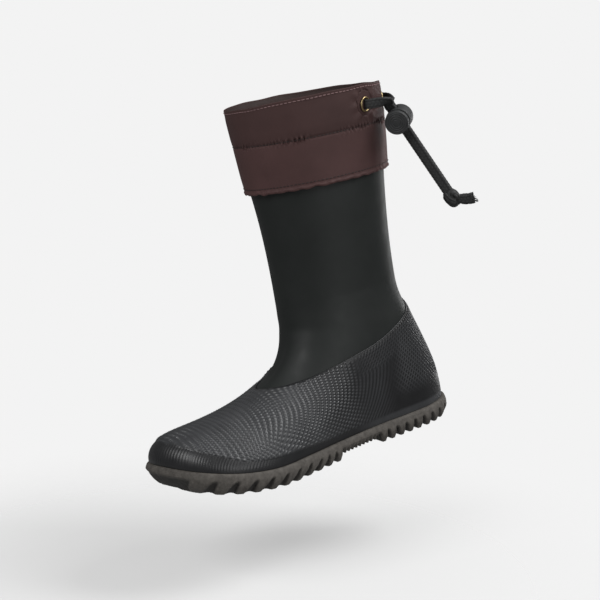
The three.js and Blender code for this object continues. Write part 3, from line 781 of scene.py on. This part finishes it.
def lock_button():
    p = PLUNGER
    grooves = [[r + 0.35 * k, p["face"] + (0 if k else 0.45)] for r in RINGS for k in (-1, 0, 1)]
    outline = rounded(
        [
            [ON_AXIS, p["face"]], *grooves, [p["head"] - 0.2, p["face"] + 0.25], [p["head"], p["face"] + 1.1],
            [p["head"], p["headBack"]], [p["radius"], p["headBack"]], [p["radius"], p["end"]],
            [ON_AXIS, p["end"]],
        ],
        0.3,
    )  # fmt: skip
    made = turned("lock_plunger", outline, 96, lock_place, materials["lock_plastic"], sharp=60)
    cut(made, slot_cutter(-SLOT_HALF - BUTTON_TRAVEL, SLOT_HALF - GAP))
    return made


EYELET = {"bore": 4.6, "barrel": 5, "flange": 6.1, "thickness": 1.0}


def eyelet(name):
    axes, here = cuff_frame(EYELET_TURNS[name])
    e = EYELET
    foot, lip = -PLY - 1.8, GAP + e["thickness"]
    outline = [[e["bore"], foot], [e["barrel"], foot], [e["barrel"], GAP], [e["flange"], GAP]]
    middle, half = (e["bore"] + e["flange"]) / 2, (e["flange"] - e["bore"]) / 2
    turns, crown_foot = np.linspace(0, math.pi, 12), GAP + 0.35
    crown = [[middle + half * math.cos(a), crown_foot + (lip - crown_foot) * math.sin(a)] for a in turns]
    profile = np.array([*outline, *crown], float)
    brass = materials["eyelet_brass"]
    return turned(f"eyelet_ring_{name}", profile, 64, lambda p: here + p @ axes, brass, closed=True)


# ---- Foot and leg ----
GALOSH_COLUMNS = 1240
COLUMN_PITCH = 4.0  # between rows of beads along the foot
BEAD_PITCH = 2.8  # between beads down a row
TOE_PITCH = 4.4  # the same over the toes
NET_PITCH = 5.4  # of the fine net on the heel, down it
NET_COUNT = 140  # the same round the foot
TOE_RADIUS = 40  # turns an angle round the toes into a distance
WALL_RIBS = 280  # faint upright ribs round the toe's wall


def galosh_relief(u, outer):
    """Height of the moulded texture over the foot's plain surface, and the painted shade that darkens its
    hollows and the wall below the beads.
    """
    drop = np.linalg.norm(np.diff(outer, axis=0), axis=-1)
    down = np.cumsum(drop[::-1], axis=0)[::-1]
    down = np.vstack([down, np.zeros((1, outer.shape[1]))])  # distance under the top line
    x, y, z = np.moveaxis(outer, -1, 0)
    above_sole = z - sole_height(x, SOLE_THICKNESS)

    bend = 0.009 * np.maximum(0, down - 18) ** 2  # rows of beads sweep to the toe low on the side
    bend = bend * smoothstep(x, -90, -50)
    row = (x + bend) / COLUMN_PITCH + np.minimum(0, x + 60) * (1 / TOE_PITCH - 1 / COLUMN_PITCH)
    girth = TOE_RADIUS * np.arctan2(np.abs(y), above_sole - 8)
    place = lerp(down, girth, smoothstep(-x, 20, 60))
    bead = bump(row, 0.9) * (0.2 + 0.8 * bump(place / BEAD_PITCH + 0.5 * np.round(row), 0.9))
    rib = bump(row, 1.2)
    climb, turn = down / NET_PITCH, NET_COUNT * u
    net = np.maximum(bump(climb + turn, 3), bump(climb - turn, 3))

    wall_top = 6 + 3 * smoothstep(-x, 0, 50) + 10 * smoothstep(-x, 82, 135)
    beaded = smoothstep(above_sole, wall_top - 1.8, wall_top + 1.2)
    side_fade = fade(x + 0.25 * above_sole, 18, 52)
    heel = smoothstep(x, 62, 84) * smoothstep(above_sole, 14, 30)
    upper_net = 0.6 * smoothstep(x, 22, 50) * fade(down, 16, 26)
    ribbed = smoothstep(x, 20, 45) * fade(x, 50, 72) * smoothstep(down, 14, 24)
    wall_ribs = bump(u * WALL_RIBS) * (1 - beaded) * smoothstep(-x, 50, 90) * smoothstep(above_sole, 1, 4)

    height = lerp(0.8, 1.0, smoothstep(-x, 40, 80)) * bead * beaded * side_fade
    height = height + 0.3 * rib * beaded * ribbed + 0.45 * net * np.maximum(heel, upper_net)
    height = height * (1 - hill(down, 1.1))
    height = height + 0.4 * beaded * smoothstep(-x, -10, 30)  # the beaded field stands proud of the wall
    height = height + 0.2 * wall_ribs - 0.6 * hill(down, 2.2)
    # Painted shade: darker in the hollows between the beads and in the heel's net, and over the plain wall
    # below the bead field.
    hollows = np.clip(1 - height / 0.35, 0, 1) * np.maximum(beaded * 0.9, heel)
    return height, hollows + 0.8 * (1 - beaded) * side_fade


def galosh():
    """The moulded foot, thicker than the leg: beads over the toes and instep, a fine net on the heel."""
    u = around(GALOSH_COLUMNS)[None, :]
    v = np.concatenate([np.linspace(0, 0.12, 16, endpoint=False), np.linspace(0.12, 1, 190)])[:, None]
    outer = upper_point(u, v, -1.2)
    height, painted_shade_outside = galosh_relief(u, outer)
    outer = outer + height[..., None] * grid_normals(outer)
    lip = [upper_point(u[0], 1.0, d) + z * Z for d, z in ((-0.45, 0.2), (-0.2, 0.25), (0.1, 0.1))]
    inner = upper_point(u, np.linspace(1, 0, 14)[:, None], 0.9)
    grid = np.concatenate([outer, lip, inner])
    tone = np.zeros(grid.shape[:2])
    # Only the outer face takes the painted shade; the lip and the inside take none.
    tone[: len(v)] = painted_shade_outside
    made = torus("galosh", grid, materials["galosh_rubber"], tone=tone, sharp=70)
    return fits(made, "boot", "galosh_rubber", "galosh_shell")


LEG_GIRTH = 330  # round the leg, about
INSTEP_HEIGHT = 104


def wall(name, mat, v, depths, top=SHAFT_TOP, columns=256, soften=None):
    """A closed layer of the upper between two depths, with a rounded upper edge."""
    u = around(columns)[None, :]
    outer_depth, inner_depth = depths
    outer = upper_point(u, v[:, None], outer_depth, top)
    if soften is not None:
        outer = outer + soften(u, outer)[..., None] * grid_normals(outer)
    middle = upper_point(u, v[-1:, None], (outer_depth + inner_depth) / 2, top)
    crown = middle + 0.35 * (inner_depth - outer_depth) * Z
    inner = upper_point(u, v[::-1, None], inner_depth, top)
    grid = np.concatenate([outer, crown, inner])
    return torus(name, grid, materials[mat], lay=cloth_place(u, grid, LEG_GIRTH), sharp=70)


def shaft_softness(u, points):
    """Slow hollows of a thin rubber leg, and shallow creases where it bends at the instep."""
    turn = 2 * np.pi * u
    z = points[..., 2]
    hollows = 0.35 * waves(turn, 1, 5, 11, z / 40)
    front = np.maximum(0, -np.cos(turn))
    creases = 0.3 * hill(z - INSTEP_HEIGHT, 14) * front * np.sin(z / 3.4 + 2 * np.cos(turn))
    return (hollows + creases) * smoothstep(z, 84, 110)


def upper():
    galosh()
    leg = np.concatenate([np.linspace(1.012, 2, 60, endpoint=False), np.linspace(2, 3, 40)])
    shaft = wall("shaft", "shaft_rubber", leg, (0, 1.8), columns=320, soften=shaft_softness)
    fits(shaft, "boot", "shaft_rubber", "shaft_shell")
    liner = np.concatenate([np.linspace(0.14, 1, 40, endpoint=False), np.linspace(1, 3, 70)])
    bootie = wall("insulation", "felt", liner, (2.5, 5.0), LINING_TOP)
    fits(bootie, "boot", "felt", "insulation_bootie")
    lining = wall("lining", "knit_lining", liner, (5.3, 6.2), LINING_TOP)
    fits(lining, "boot", "knit_lining", "knit_lining")


# ---- Footbed ----
BOARD_AND_FELT = 2.1 + 2.5  # the layers under the footbed
FOOTBED_CLEARANCE = 7  # from the upper's lining layers to the footbed's edge
HEEL_CUP = 1.6


def footbed():
    """A foam footbed with a rounded edge and a raised heel cup."""
    bottom = SOLE_THICKNESS + BOARD_AND_FELT + GAP
    top = bottom + 3.0
    edge = sole_edge(around(240), np.full(240, UPPER_INSET + 6.2 + FOOTBED_CLEARANCE))
    # Size against the edge, level, and share of the heel cup.
    levels = [(0.94, bottom, 0), (0.985, bottom + 0.3, 0), (1.0, bottom + 0.9, 0)]
    levels += [(1.0, top - 0.9, 1), (0.985, top - 0.25, 1), (0.96, top, 1)]
    levels += [(0.96 * share, top, share**2) for share in (0.9, 0.7, 0.45, 0.2)]
    rings = []
    for size, level, cup in levels:
        ring = edge * [size, size, 1]
        heel = smoothstep(ring[:, 0], 60, 120)
        ring[:, 2] = sole_height(ring[:, 0], level) + HEEL_CUP * cup * heel
        rings.append(ring)
    made = capped("footbed_top", np.array(rings), materials["footbed_foam"], sharp=60)
    fits(made, "boot", "footbed_foam", "footbed")


# ---- Outsole ----
SOLE_COLUMNS = 1320
HEEL_LUGS = {"first": 132, "pitch": 9.6, "growth": 1, "count": 9, "foot": 9.2, "tip": 2.4, "depth": 6}
FOREFOOT_LUGS = {"first": 4, "pitch": 10.2, "growth": 1.05, "count": 11, "foot": 10, "tip": 2.6, "depth": 6}
ARCH_RIBS = {"first": 46, "pitch": 4.2, "growth": 1, "count": 9, "foot": 3.8, "tip": 1.0, "depth": 1.6}
CHEVRON = 0.12
CENTRE_GROOVE = 7
ARCH_FROM, ARCH_TO = 9.6, 50.4  # the fine ribs lie between the forefoot's lugs and the heel's


def chevron(points):
    """Place along the sole in the tread's swept pattern."""
    return points[..., 0] + CHEVRON * np.abs(points[..., 1])


def in_arch(along):
    return (along > ARCH_FROM) & (along < ARCH_TO)


def lug_rise(along, aside=None):
    """How far the tread comes down, 0 in a gap and the lug's depth on its tip. aside is the distance from
    the middle groove, where it counts."""
    drop = np.zeros_like(along)
    for row in (HEEL_LUGS, FOREFOOT_LUGS, ARCH_RIBS):
        x, size = row["first"], 1.0
        for _ in range(row["count"]):
            off = np.abs(along - x)
            slope = (row["foot"] - row["tip"]) * size / 2
            rise = smoothstep(row["foot"] * size / 2 - off, 0, slope) * row["depth"]
            if aside is not None and row is not ARCH_RIBS:
                rise = rise * smoothstep(aside, CENTRE_GROOVE / 2 - 0.8, CENTRE_GROOVE / 2 + 0.8)
            drop = np.maximum(drop, rise)
            x -= row["pitch"] * size
            size *= row["growth"]
    return drop


def across_ring(border, base, first, across, level, up):
    """Fills a ring from side to side with a grid of points.

    The border's points start at index base and the new ones at index first. level gives the height of
    points from their places and their distances from the edge."""
    half = len(border) // 2
    j = np.arange(1, half)
    left, right = border[j], border[len(border) - j]
    share = np.linspace(0, 1, across + 1)[1:-1]
    inner = lerp(left[:, None], right[:, None], share[None, :, None])
    width = np.linalg.norm(left - right, axis=1)[:, None]
    inner[..., 2] = level(inner, np.minimum(share, 1 - share)[None, :] * width)

    def at(line, k):
        if line in (0, half) or k == 0:
            return base + line
        if k == across:
            return base + len(border) - line
        return first + (line - 1) * (across - 1) + k - 1

    faces = []
    for line in range(half):
        for k in range(across):
            corners = [at(line, k), at(line, k + 1), at(line + 1, k + 1), at(line + 1, k)]
            corners = list(dict.fromkeys(corners))
            if len(corners) > 2:
                faces.append(corners if up else corners[::-1])
    return inner.reshape(-1, 3), faces


def outsole():
    """One moulded sole: a rounded flange, a side wall scalloped by the lugs, and the lugs underneath."""
    u = around(SOLE_COLUMNS)
    rough = 0.16 * waves(2 * np.pi * u, 60, 330, 3)

    def ring(inset, h):
        p = sole_edge(u, np.broadcast_to(inset, u.shape))
        p[:, 2] = sole_height(p[:, 0], h)
        return p

    brim = ((7, 14.9), (2.6, 15), (1.7, 14.85), (1.0, 14.2), (0.55, 13), (0.25, 11.8), (0, FLANGE_HEIGHT))
    bevel = 1 + 1.4 * smoothstep(-plan(u)[:, 0], 108, 142)
    rows = []
    for inset, h in brim:
        bevelled = min(inset, 1.7) * bevel + max(0, inset - 1.7)
        rows.append(ring(bevelled - 0.3 * rough * (h < 14.9), h))
    tone = [0.12 + 0 * u for _ in rows]

    edge = ring(4.0, 0)
    along = chevron(edge)
    deep = np.where(in_arch(along), 0.0, 1.0)
    full = lerp(ARCH_RIBS["depth"], LUG_DEPTH, deep)
    slant = lerp(0.1, -0.8, smoothstep(-along, -10, 20))
    end = np.maximum(smoothstep(-along, 104, 142), 0.5 * smoothstep(along, 124, 142))  # the tips are cut away
    lug = lug_rise(along) / full
    gap_level = lerp(LUG_DEPTH + 0.4, lerp(2.9, 1.0, smoothstep(-along, -10, 20)), deep)
    bottom = lerp(gap_level, LUG_DEPTH - full, lug)
    for w in np.linspace(0, 1, 19)[1:]:
        h = lerp(FLANGE_HEIGHT, bottom, w)
        narrower = lerp(0.0, 0.7, 1 - w) * deep
        gap_here = smoothstep(1 - lug_rise(along + slant * (h - 1)) / full, narrower, narrower + 0.45)
        scoop = gap_here * smoothstep(FLANGE_HEIGHT - h, 0.2, 3.4) * lerp(0.7, 2.7, deep)
        facet = 0.9 * deep * (1 - gap_here) * math.sin(math.pi * w)
        undercut = (3.0 + 7 * end) * w**1.4 + scoop * (1 - 0.6 * end)
        rows.append(ring(undercut - facet - rough * math.sin(math.pi * w), h))
        # Painted shade: darker in the gaps between the lugs and towards the bottom of the undercut wall, over
        # a slight even darkening.
        tone.append(0.15 + 0.85 * gap_here * smoothstep(FLANGE_HEIGHT - h, 0.5, 3.0) * deep + 0.2 * w * w)
    side = np.array(rows)[::-1]
    tone = np.clip(np.array(tone)[::-1], 0, 1)
    faces = grid_faces(len(side), SOLE_COLUMNS).tolist()

    def tread(p, distance):
        here = chevron(p)
        deep_here = np.where(in_arch(here), 0.0, 1.0)
        near_edge = hill(distance, 7)
        floor_level = LUG_DEPTH + near_edge * lerp(0.4, -3.6, deep_here)
        share = lug_rise(here, np.abs(p[..., 1])) / lerp(ARCH_RIBS["depth"], LUG_DEPTH, deep_here)
        tip_level = lerp(LUG_DEPTH - ARCH_RIBS["depth"], 0, deep_here)
        return sole_height(p[..., 0], lerp(floor_level, tip_level, share))

    def lid_level(p, _):
        return sole_height(p[..., 0], brim[0][1])

    count = side.shape[0] * SOLE_COLUMNS
    under, under_faces = across_ring(side[0], 0, count, 84, tread, up=False)
    lid_base = (side.shape[0] - 1) * SOLE_COLUMNS
    lid, lid_faces = across_ring(side[-1], lid_base, count + len(under), 6, lid_level, up=True)
    points = np.vstack([side.reshape(-1, 3), under, lid])
    # Painted shade: the whole underside is darker, less so on the lug tips.
    under_painted_shade = 0.85 - 0.4 * lug_rise(chevron(under), np.abs(under[:, 1])) / LUG_DEPTH
    tone = np.concatenate([tone.ravel(), under_painted_shade, np.zeros(len(lid))])
    faces += under_faces + lid_faces
    made = mesh_object("sole", points, faces, materials["sole_rubber"], sharp=55, tone=tone)
    return fits(made, "boot", "sole_rubber", "outsole")


# ---- Cuff ----
SEAM_HEIGHT = 257.3  # stitches that close the drawcord's channel
CUFF_COLUMNS = 900
CUFF_RADIUS = 62  # by the eyelets
CUFF_GIRTH = 380
CLOTH_RADIUS = 60  # by which the weave is laid round the cuff


def turn_from(turn, centre):
    """The angle from centre to turn, at most half a turn either way."""
    return np.angle(np.exp(1j * (turn - centre)))


def cuff_gather(turn, z):
    """How far the fabric stands out: gathers at the seam, a puffed channel, a rolled hem."""
    seam = z - SEAM_HEIGHT
    hem = z - CUFF_BOTTOM
    puckers = waves(turn, 60, 150, 21, seam / 2.4)
    patches = smoothstep(waves(turn, 3, 12, 24), -1.1, 0.4)
    soft = waves(turn, 2, 7, 22, z / 30)
    long_folds = waves(turn, 9, 26, 23, z / 14)
    channel = smoothstep(seam, 0, 8) * fade(seam, 18, 29)
    out = 0.3 * soft * smoothstep(hem, 2, 14) - 0.42 * hill(seam, 1.3)
    out = out + 0.8 * puckers * patches * hill(seam, 2.2)
    out = out + 0.12 * long_folds * (0.4 + channel) + 0.35 * channel
    out = out + 0.8 * hill(hem - 1.2, 1.3) * (0.8 + 0.25 * waves(turn, 24, 70, 25, hem / 2))
    out = out + 0.14 * waves(turn, 30, 80, 26, hem / 3) * hill(hem, 5)
    back = hill(turn_from(turn, -0.1), 0.7)
    belly = np.sin(np.pi * hem / (CUFF_TOP - CUFF_BOTTOM)) * fade(seam, 6, 16)
    return out + 2.0 * back * belly - 1.2 * back * smoothstep(seam, 24, 29.5)


def from_eyelet(turn, z, centre):
    """Distances across the fabric and up it from an eyelet."""
    return turn_from(turn, centre) * CUFF_RADIUS, z - EYELET_HEIGHT


def eyelet_pull(turn, z):
    """Small rays of fabric drawn in towards each eyelet."""
    total = 0.0
    for centre in EYELET_TURNS.values():
        across, up = from_eyelet(turn, z, centre)
        far = np.hypot(across, up)
        rays = np.cos(9 * np.arctan2(up, across) + 1.3)
        total = total + 0.35 * rays * hill(far - 11, 5) * smoothstep(far, 6.8, 8.5)
        total = total - 2.0 * fade(far, 7, 10)
    return total


def cuff_surface(turn, z):
    """The outer face of the cuff, with its gathers, flat under each eyelet."""
    out = cuff_gather(turn, z)
    pull = eyelet_pull(turn, z)
    flat = np.clip(-pull / 2.0, 0, 1)
    out = np.where(pull < -1, out * (1 - flat) - 0.05, out + pull * (pull > -1))
    return cuff_point(turn, z, -out)


def eyelet_distance(turn, z):
    return np.minimum(*[np.hypot(*from_eyelet(turn, z, centre)) for centre in EYELET_TURNS.values()])


def cuff_rise(turn, z):
    """The top edge is a little wavy and bows up along both sides."""
    bow = lerp(1.4, 2.9, smoothstep(np.sin(turn), -0.3, 0.3)) * np.abs(np.sin(turn)) ** 1.3
    return (bow + 0.3 * waves(turn, 3, 16, 31)) * smoothstep(z, 262, CUFF_TOP)


def cuff_outer():
    turn = 2 * np.pi * around(CUFF_COLUMNS)[None, :]
    levels, steps = (CUFF_BOTTOM, 226, 250, 264), (22, 26, 36)
    rows = [np.linspace(low, high, n, endpoint=False) for low, high, n in zip(levels, levels[1:], steps)]
    z = np.concatenate([*rows, np.linspace(levels[-1], CUFF_TOP, 44)])[:, None]
    foot = 0.35 * waves(turn, 8, 40, 32) * fade(z, CUFF_BOTTOM, 224)
    outer = cuff_surface(turn, z)
    outer[..., 2] += cuff_rise(turn, z) + foot
    normals = grid_normals(outer)
    inner = (outer - PLY * normals)[::-1]
    crown = (outer[-1:] + inner[:1]) / 2 + 0.3 * Z
    hem_under = (outer[:1] + inner[-1:]) / 2 - 0.35 * Z
    grid = np.concatenate([outer, crown, inner, hem_under])
    # Above the seam the nylon takes a darker colour of its own; the narrow dark line along the seam is
    # painted shade in its groove.
    above = smoothstep(grid[..., 2], SEAM_HEIGHT - 1, SEAM_HEIGHT + 2)
    tone = 0.38 * above + 0.35 * hill(grid[..., 2] - SEAM_HEIGHT, 0.9)
    lay = cloth_place(turn, grid, CLOTH_RADIUS)
    made = torus("cuff_outer", grid, materials["cuff_nylon"], lay=lay, tone=np.clip(tone, 0, 1))
    fits(made, "boot", "cuff_nylon", "cuff_outer_panel")
    return made


def cuff_inner():
    """The facing: from the top edge it puffs in round the cord, meets the seam and hangs to the lining."""
    turn = 2 * np.pi * around(480)[None, :]
    share = np.linspace(0, 1, 90)[:, None]
    z = lerp(LINING_TOP + 1.2, CUFF_TOP - 0.7, share)
    seam = z - SEAM_HEIGHT
    puff = 5.2 * smoothstep(seam, 0.5, 9) * fade(seam, 20, 28.6)
    slack = 6.4 * fade(seam, -26, -4)
    depth = 1.15 + puff + slack - cuff_gather(turn, z) * smoothstep(seam, -14, -2)
    loose = smoothstep(np.abs(seam), 1, 9) * fade(seam, 22, 28)
    depth = depth + 0.5 * waves(turn, 8, 30, 41, z / 9) * loose
    rise = cuff_rise(turn, z)[..., None] * Z
    face = cuff_point(turn, z, depth) + rise
    back = cuff_point(turn, z, depth + PLY) + rise
    crown = (face[-1:] + back[-1:]) / 2 + 0.2 * Z
    grid = np.concatenate([face, crown, back[::-1]])
    lay = cloth_place(turn, grid, CLOTH_RADIUS)
    # Tone 1 everywhere: the whole facing takes the darker nylon colour, a painted shade for the shadow inside
    # the cuff.
    made = torus("cuff_inner", grid, materials["cuff_nylon"], lay=lay, tone=np.ones(grid.shape[:2]))
    fits(made, "boot", "cuff_nylon", "cuff_inner_panel")
    return made


def stitches(name, height, length, gap, radius, mat, proud=0.12):
    """A row of lock stitches round the cuff, each a short thread bowed over the fabric."""
    count = int(CUFF_GIRTH / (length + gap))
    half = math.pi * length / (length + gap) / count
    level = np.array([[height]])
    parts = []
    for k in range(count):
        centre = 2 * math.pi * k / count
        if eyelet_distance(centre, height) < 8:
            continue
        ends = [cuff_surface(np.array([[t]]), level)[0, 0] for t in (centre - half, centre + half)]
        out = unit((ends[0] + ends[1]) / 2 - [54, 0, height])
        ends = [e + proud * out + cuff_rise(centre, height) * Z for e in ends]
        parts.append(thread(ends[0], ends[1], radius, 6, 0.18 * out))
    made = joined(name, parts, materials[mat])
    fits(made, "boot", "cuff_nylon")
    return made


def cuff():
    outer = cuff_outer()
    inner = cuff_inner()
    top = stitches("stitches_top", CUFF_TOP - 1.9, 2.3, 0.9, 0.3, "cuff_thread")
    seam = stitches("stitches_channel", SEAM_HEIGHT, 2.2, 0.8, 0.26, "dark_thread", proud=0.2)
    hem = stitches("stitches_hem", CUFF_BOTTOM + 4.6, 2.3, 0.9, 0.26, "dark_thread")
    for name in ("near", "far"):
        fits(eyelet(name), "boot", "eyelet_brass", f"eyelet_{name}")


# ---- Drawcord ----
def drawcord():
    tied = fits(knot(), "boot", "cord", "cord_knot")
    fits(channel_run(), "boot", "cord", "drawcord_channel_run")
    body = fits(lock_body(), "cord_lock", "lock_plastic", "cord_lock_body")
    button = fits(lock_button(), "lock_button", "lock_plastic", "cord_lock_button")
    for name, back, droop in (("near", -1.6, 0), ("far", 1.6, 2.2)):
        made, path = strand(name)
        fits(made, "boot", "cord", f"drawcord_strand_{name}")
        end, fray = tail(name, back, droop)
        fits(end, "boot", "cord", f"cord_tail_{name}")
        fits(fray, "boot", "cord")


# ---- Pieces that keep their CAD shape ----
def finish_cad_nodes():
    kept = {
        "arch_shank": "shank_plastic",
        "insole_board": "fibre_board",
        "heel_counter": "fibre_board",
        "toe_puff": "fibre_board",
        "felt_insole": "felt",
        "eyelet_washer_near": "eyelet_brass",
        "eyelet_washer_far": "eyelet_brass",
        "cord_lock_spring": "spring_steel",
    }
    for name, mat in kept.items():
        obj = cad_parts[name]
        obj.data.materials.clear()
        obj.data.materials.append(materials[mat])
    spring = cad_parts["cord_lock_spring"]
    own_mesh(spring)


# ---- Stage ----
def area_light(name, place, size, power):
    """A square soft light at (right, up, towards the camera) from the boot's middle, in metres."""
    data = bpy.data.lights.new(name, "AREA")
    data.size = size
    data.energy = power
    light = bpy.data.objects.new(name, data)
    bpy.context.scene.collection.objects.link(light)
    offset = image_right * place[0] + image_up * place[1] + image_back * place[2]
    light.location = target + offset
    light.rotation_mode = "QUATERNION"
    light.rotation_quaternion = offset.to_track_quat("Z", "Y")


def backdrop():
    world = bpy.data.worlds.new("studio")
    bpy.context.scene.world = world
    world.use_nodes = True
    tree = world.node_tree
    tree.nodes.clear()
    lit, seen = (
        node(tree, "ShaderNodeBackground", {"Color": linear(243, 243, 243), "Strength": strength}).outputs[0]
        for strength in (0.2, 1.0)
    )
    camera_ray = node(tree, "ShaderNodeLightPath").outputs["Is Camera Ray"]
    mixed = node(tree, "ShaderNodeMixShader", {0: camera_ray, 1: lit, 2: seen})
    node(tree, "ShaderNodeOutputWorld", {"Surface": mixed.outputs[0]})


FLOOR_ALBEDO = 0.76


def floor():
    """A pale floor below the boot, level with the picture, that fades out towards its edge."""
    radius, sides = 0.42, 96
    centre = target - image_up * 0.222 - image_right * 0.075 + image_back * 0.03
    up = image_up * math.cos(CAMERA_HEIGHT) + image_back * math.sin(CAMERA_HEIGHT)
    back = (image_back - up * image_back.dot(up)).normalized()
    angle = 2 * np.pi * around(sides)
    spokes = np.cos(angle)[:, None] * np.array(image_right) + np.sin(angle)[:, None] * np.array(back)
    shares = np.linspace(0.02, 1, 16)
    grid = (np.array(centre) + radius * shares[:, None, None] * spokes) / MM
    mat = bpy.data.materials.new("floor")
    mat.use_nodes = True
    tree = mat.node_tree
    tree.nodes.clear()
    solid = node(tree, "ShaderNodeBsdfDiffuse", {"Color": (FLOOR_ALBEDO, FLOOR_ALBEDO, FLOOR_ALBEDO, 1)})
    clear = node(tree, "ShaderNodeBsdfTransparent")
    clearness = attribute(tree, "tone", "Fac")
    mixed = node(tree, "ShaderNodeMixShader", {0: clearness, 1: solid.outputs[0], 2: clear.outputs[0]})
    node(tree, "ShaderNodeOutputMaterial", {"Surface": mixed.outputs[0]})
    faces = grid_faces(len(shares), sides).tolist() + [list(range(sides))[::-1]]
    middle_clearness = 0.45
    tone = np.repeat(lerp(middle_clearness, 1, smoothstep(shares, 0.3, 0.98)), sides)
    disc = mesh_object("floor", grid.reshape(-1, 3), faces, mat, tone=tone)


upper()
footbed()
outsole()
cuff()
drawcord()
finish_cad_nodes()
backdrop()
floor()
area_light("top", (1.15, 1.3, 0.25), 0.9, 25)
area_light("key", (-0.95, 0.85, 1.15), 0.9, 16)
area_light("fill", (1.1, 0.15, 1.5), 1.0, 8)
area_light("rim", (1.0, 0.25, -1.5), 0.5, 2.6)
bpy.context.scene.view_settings.view_transform = "Standard"
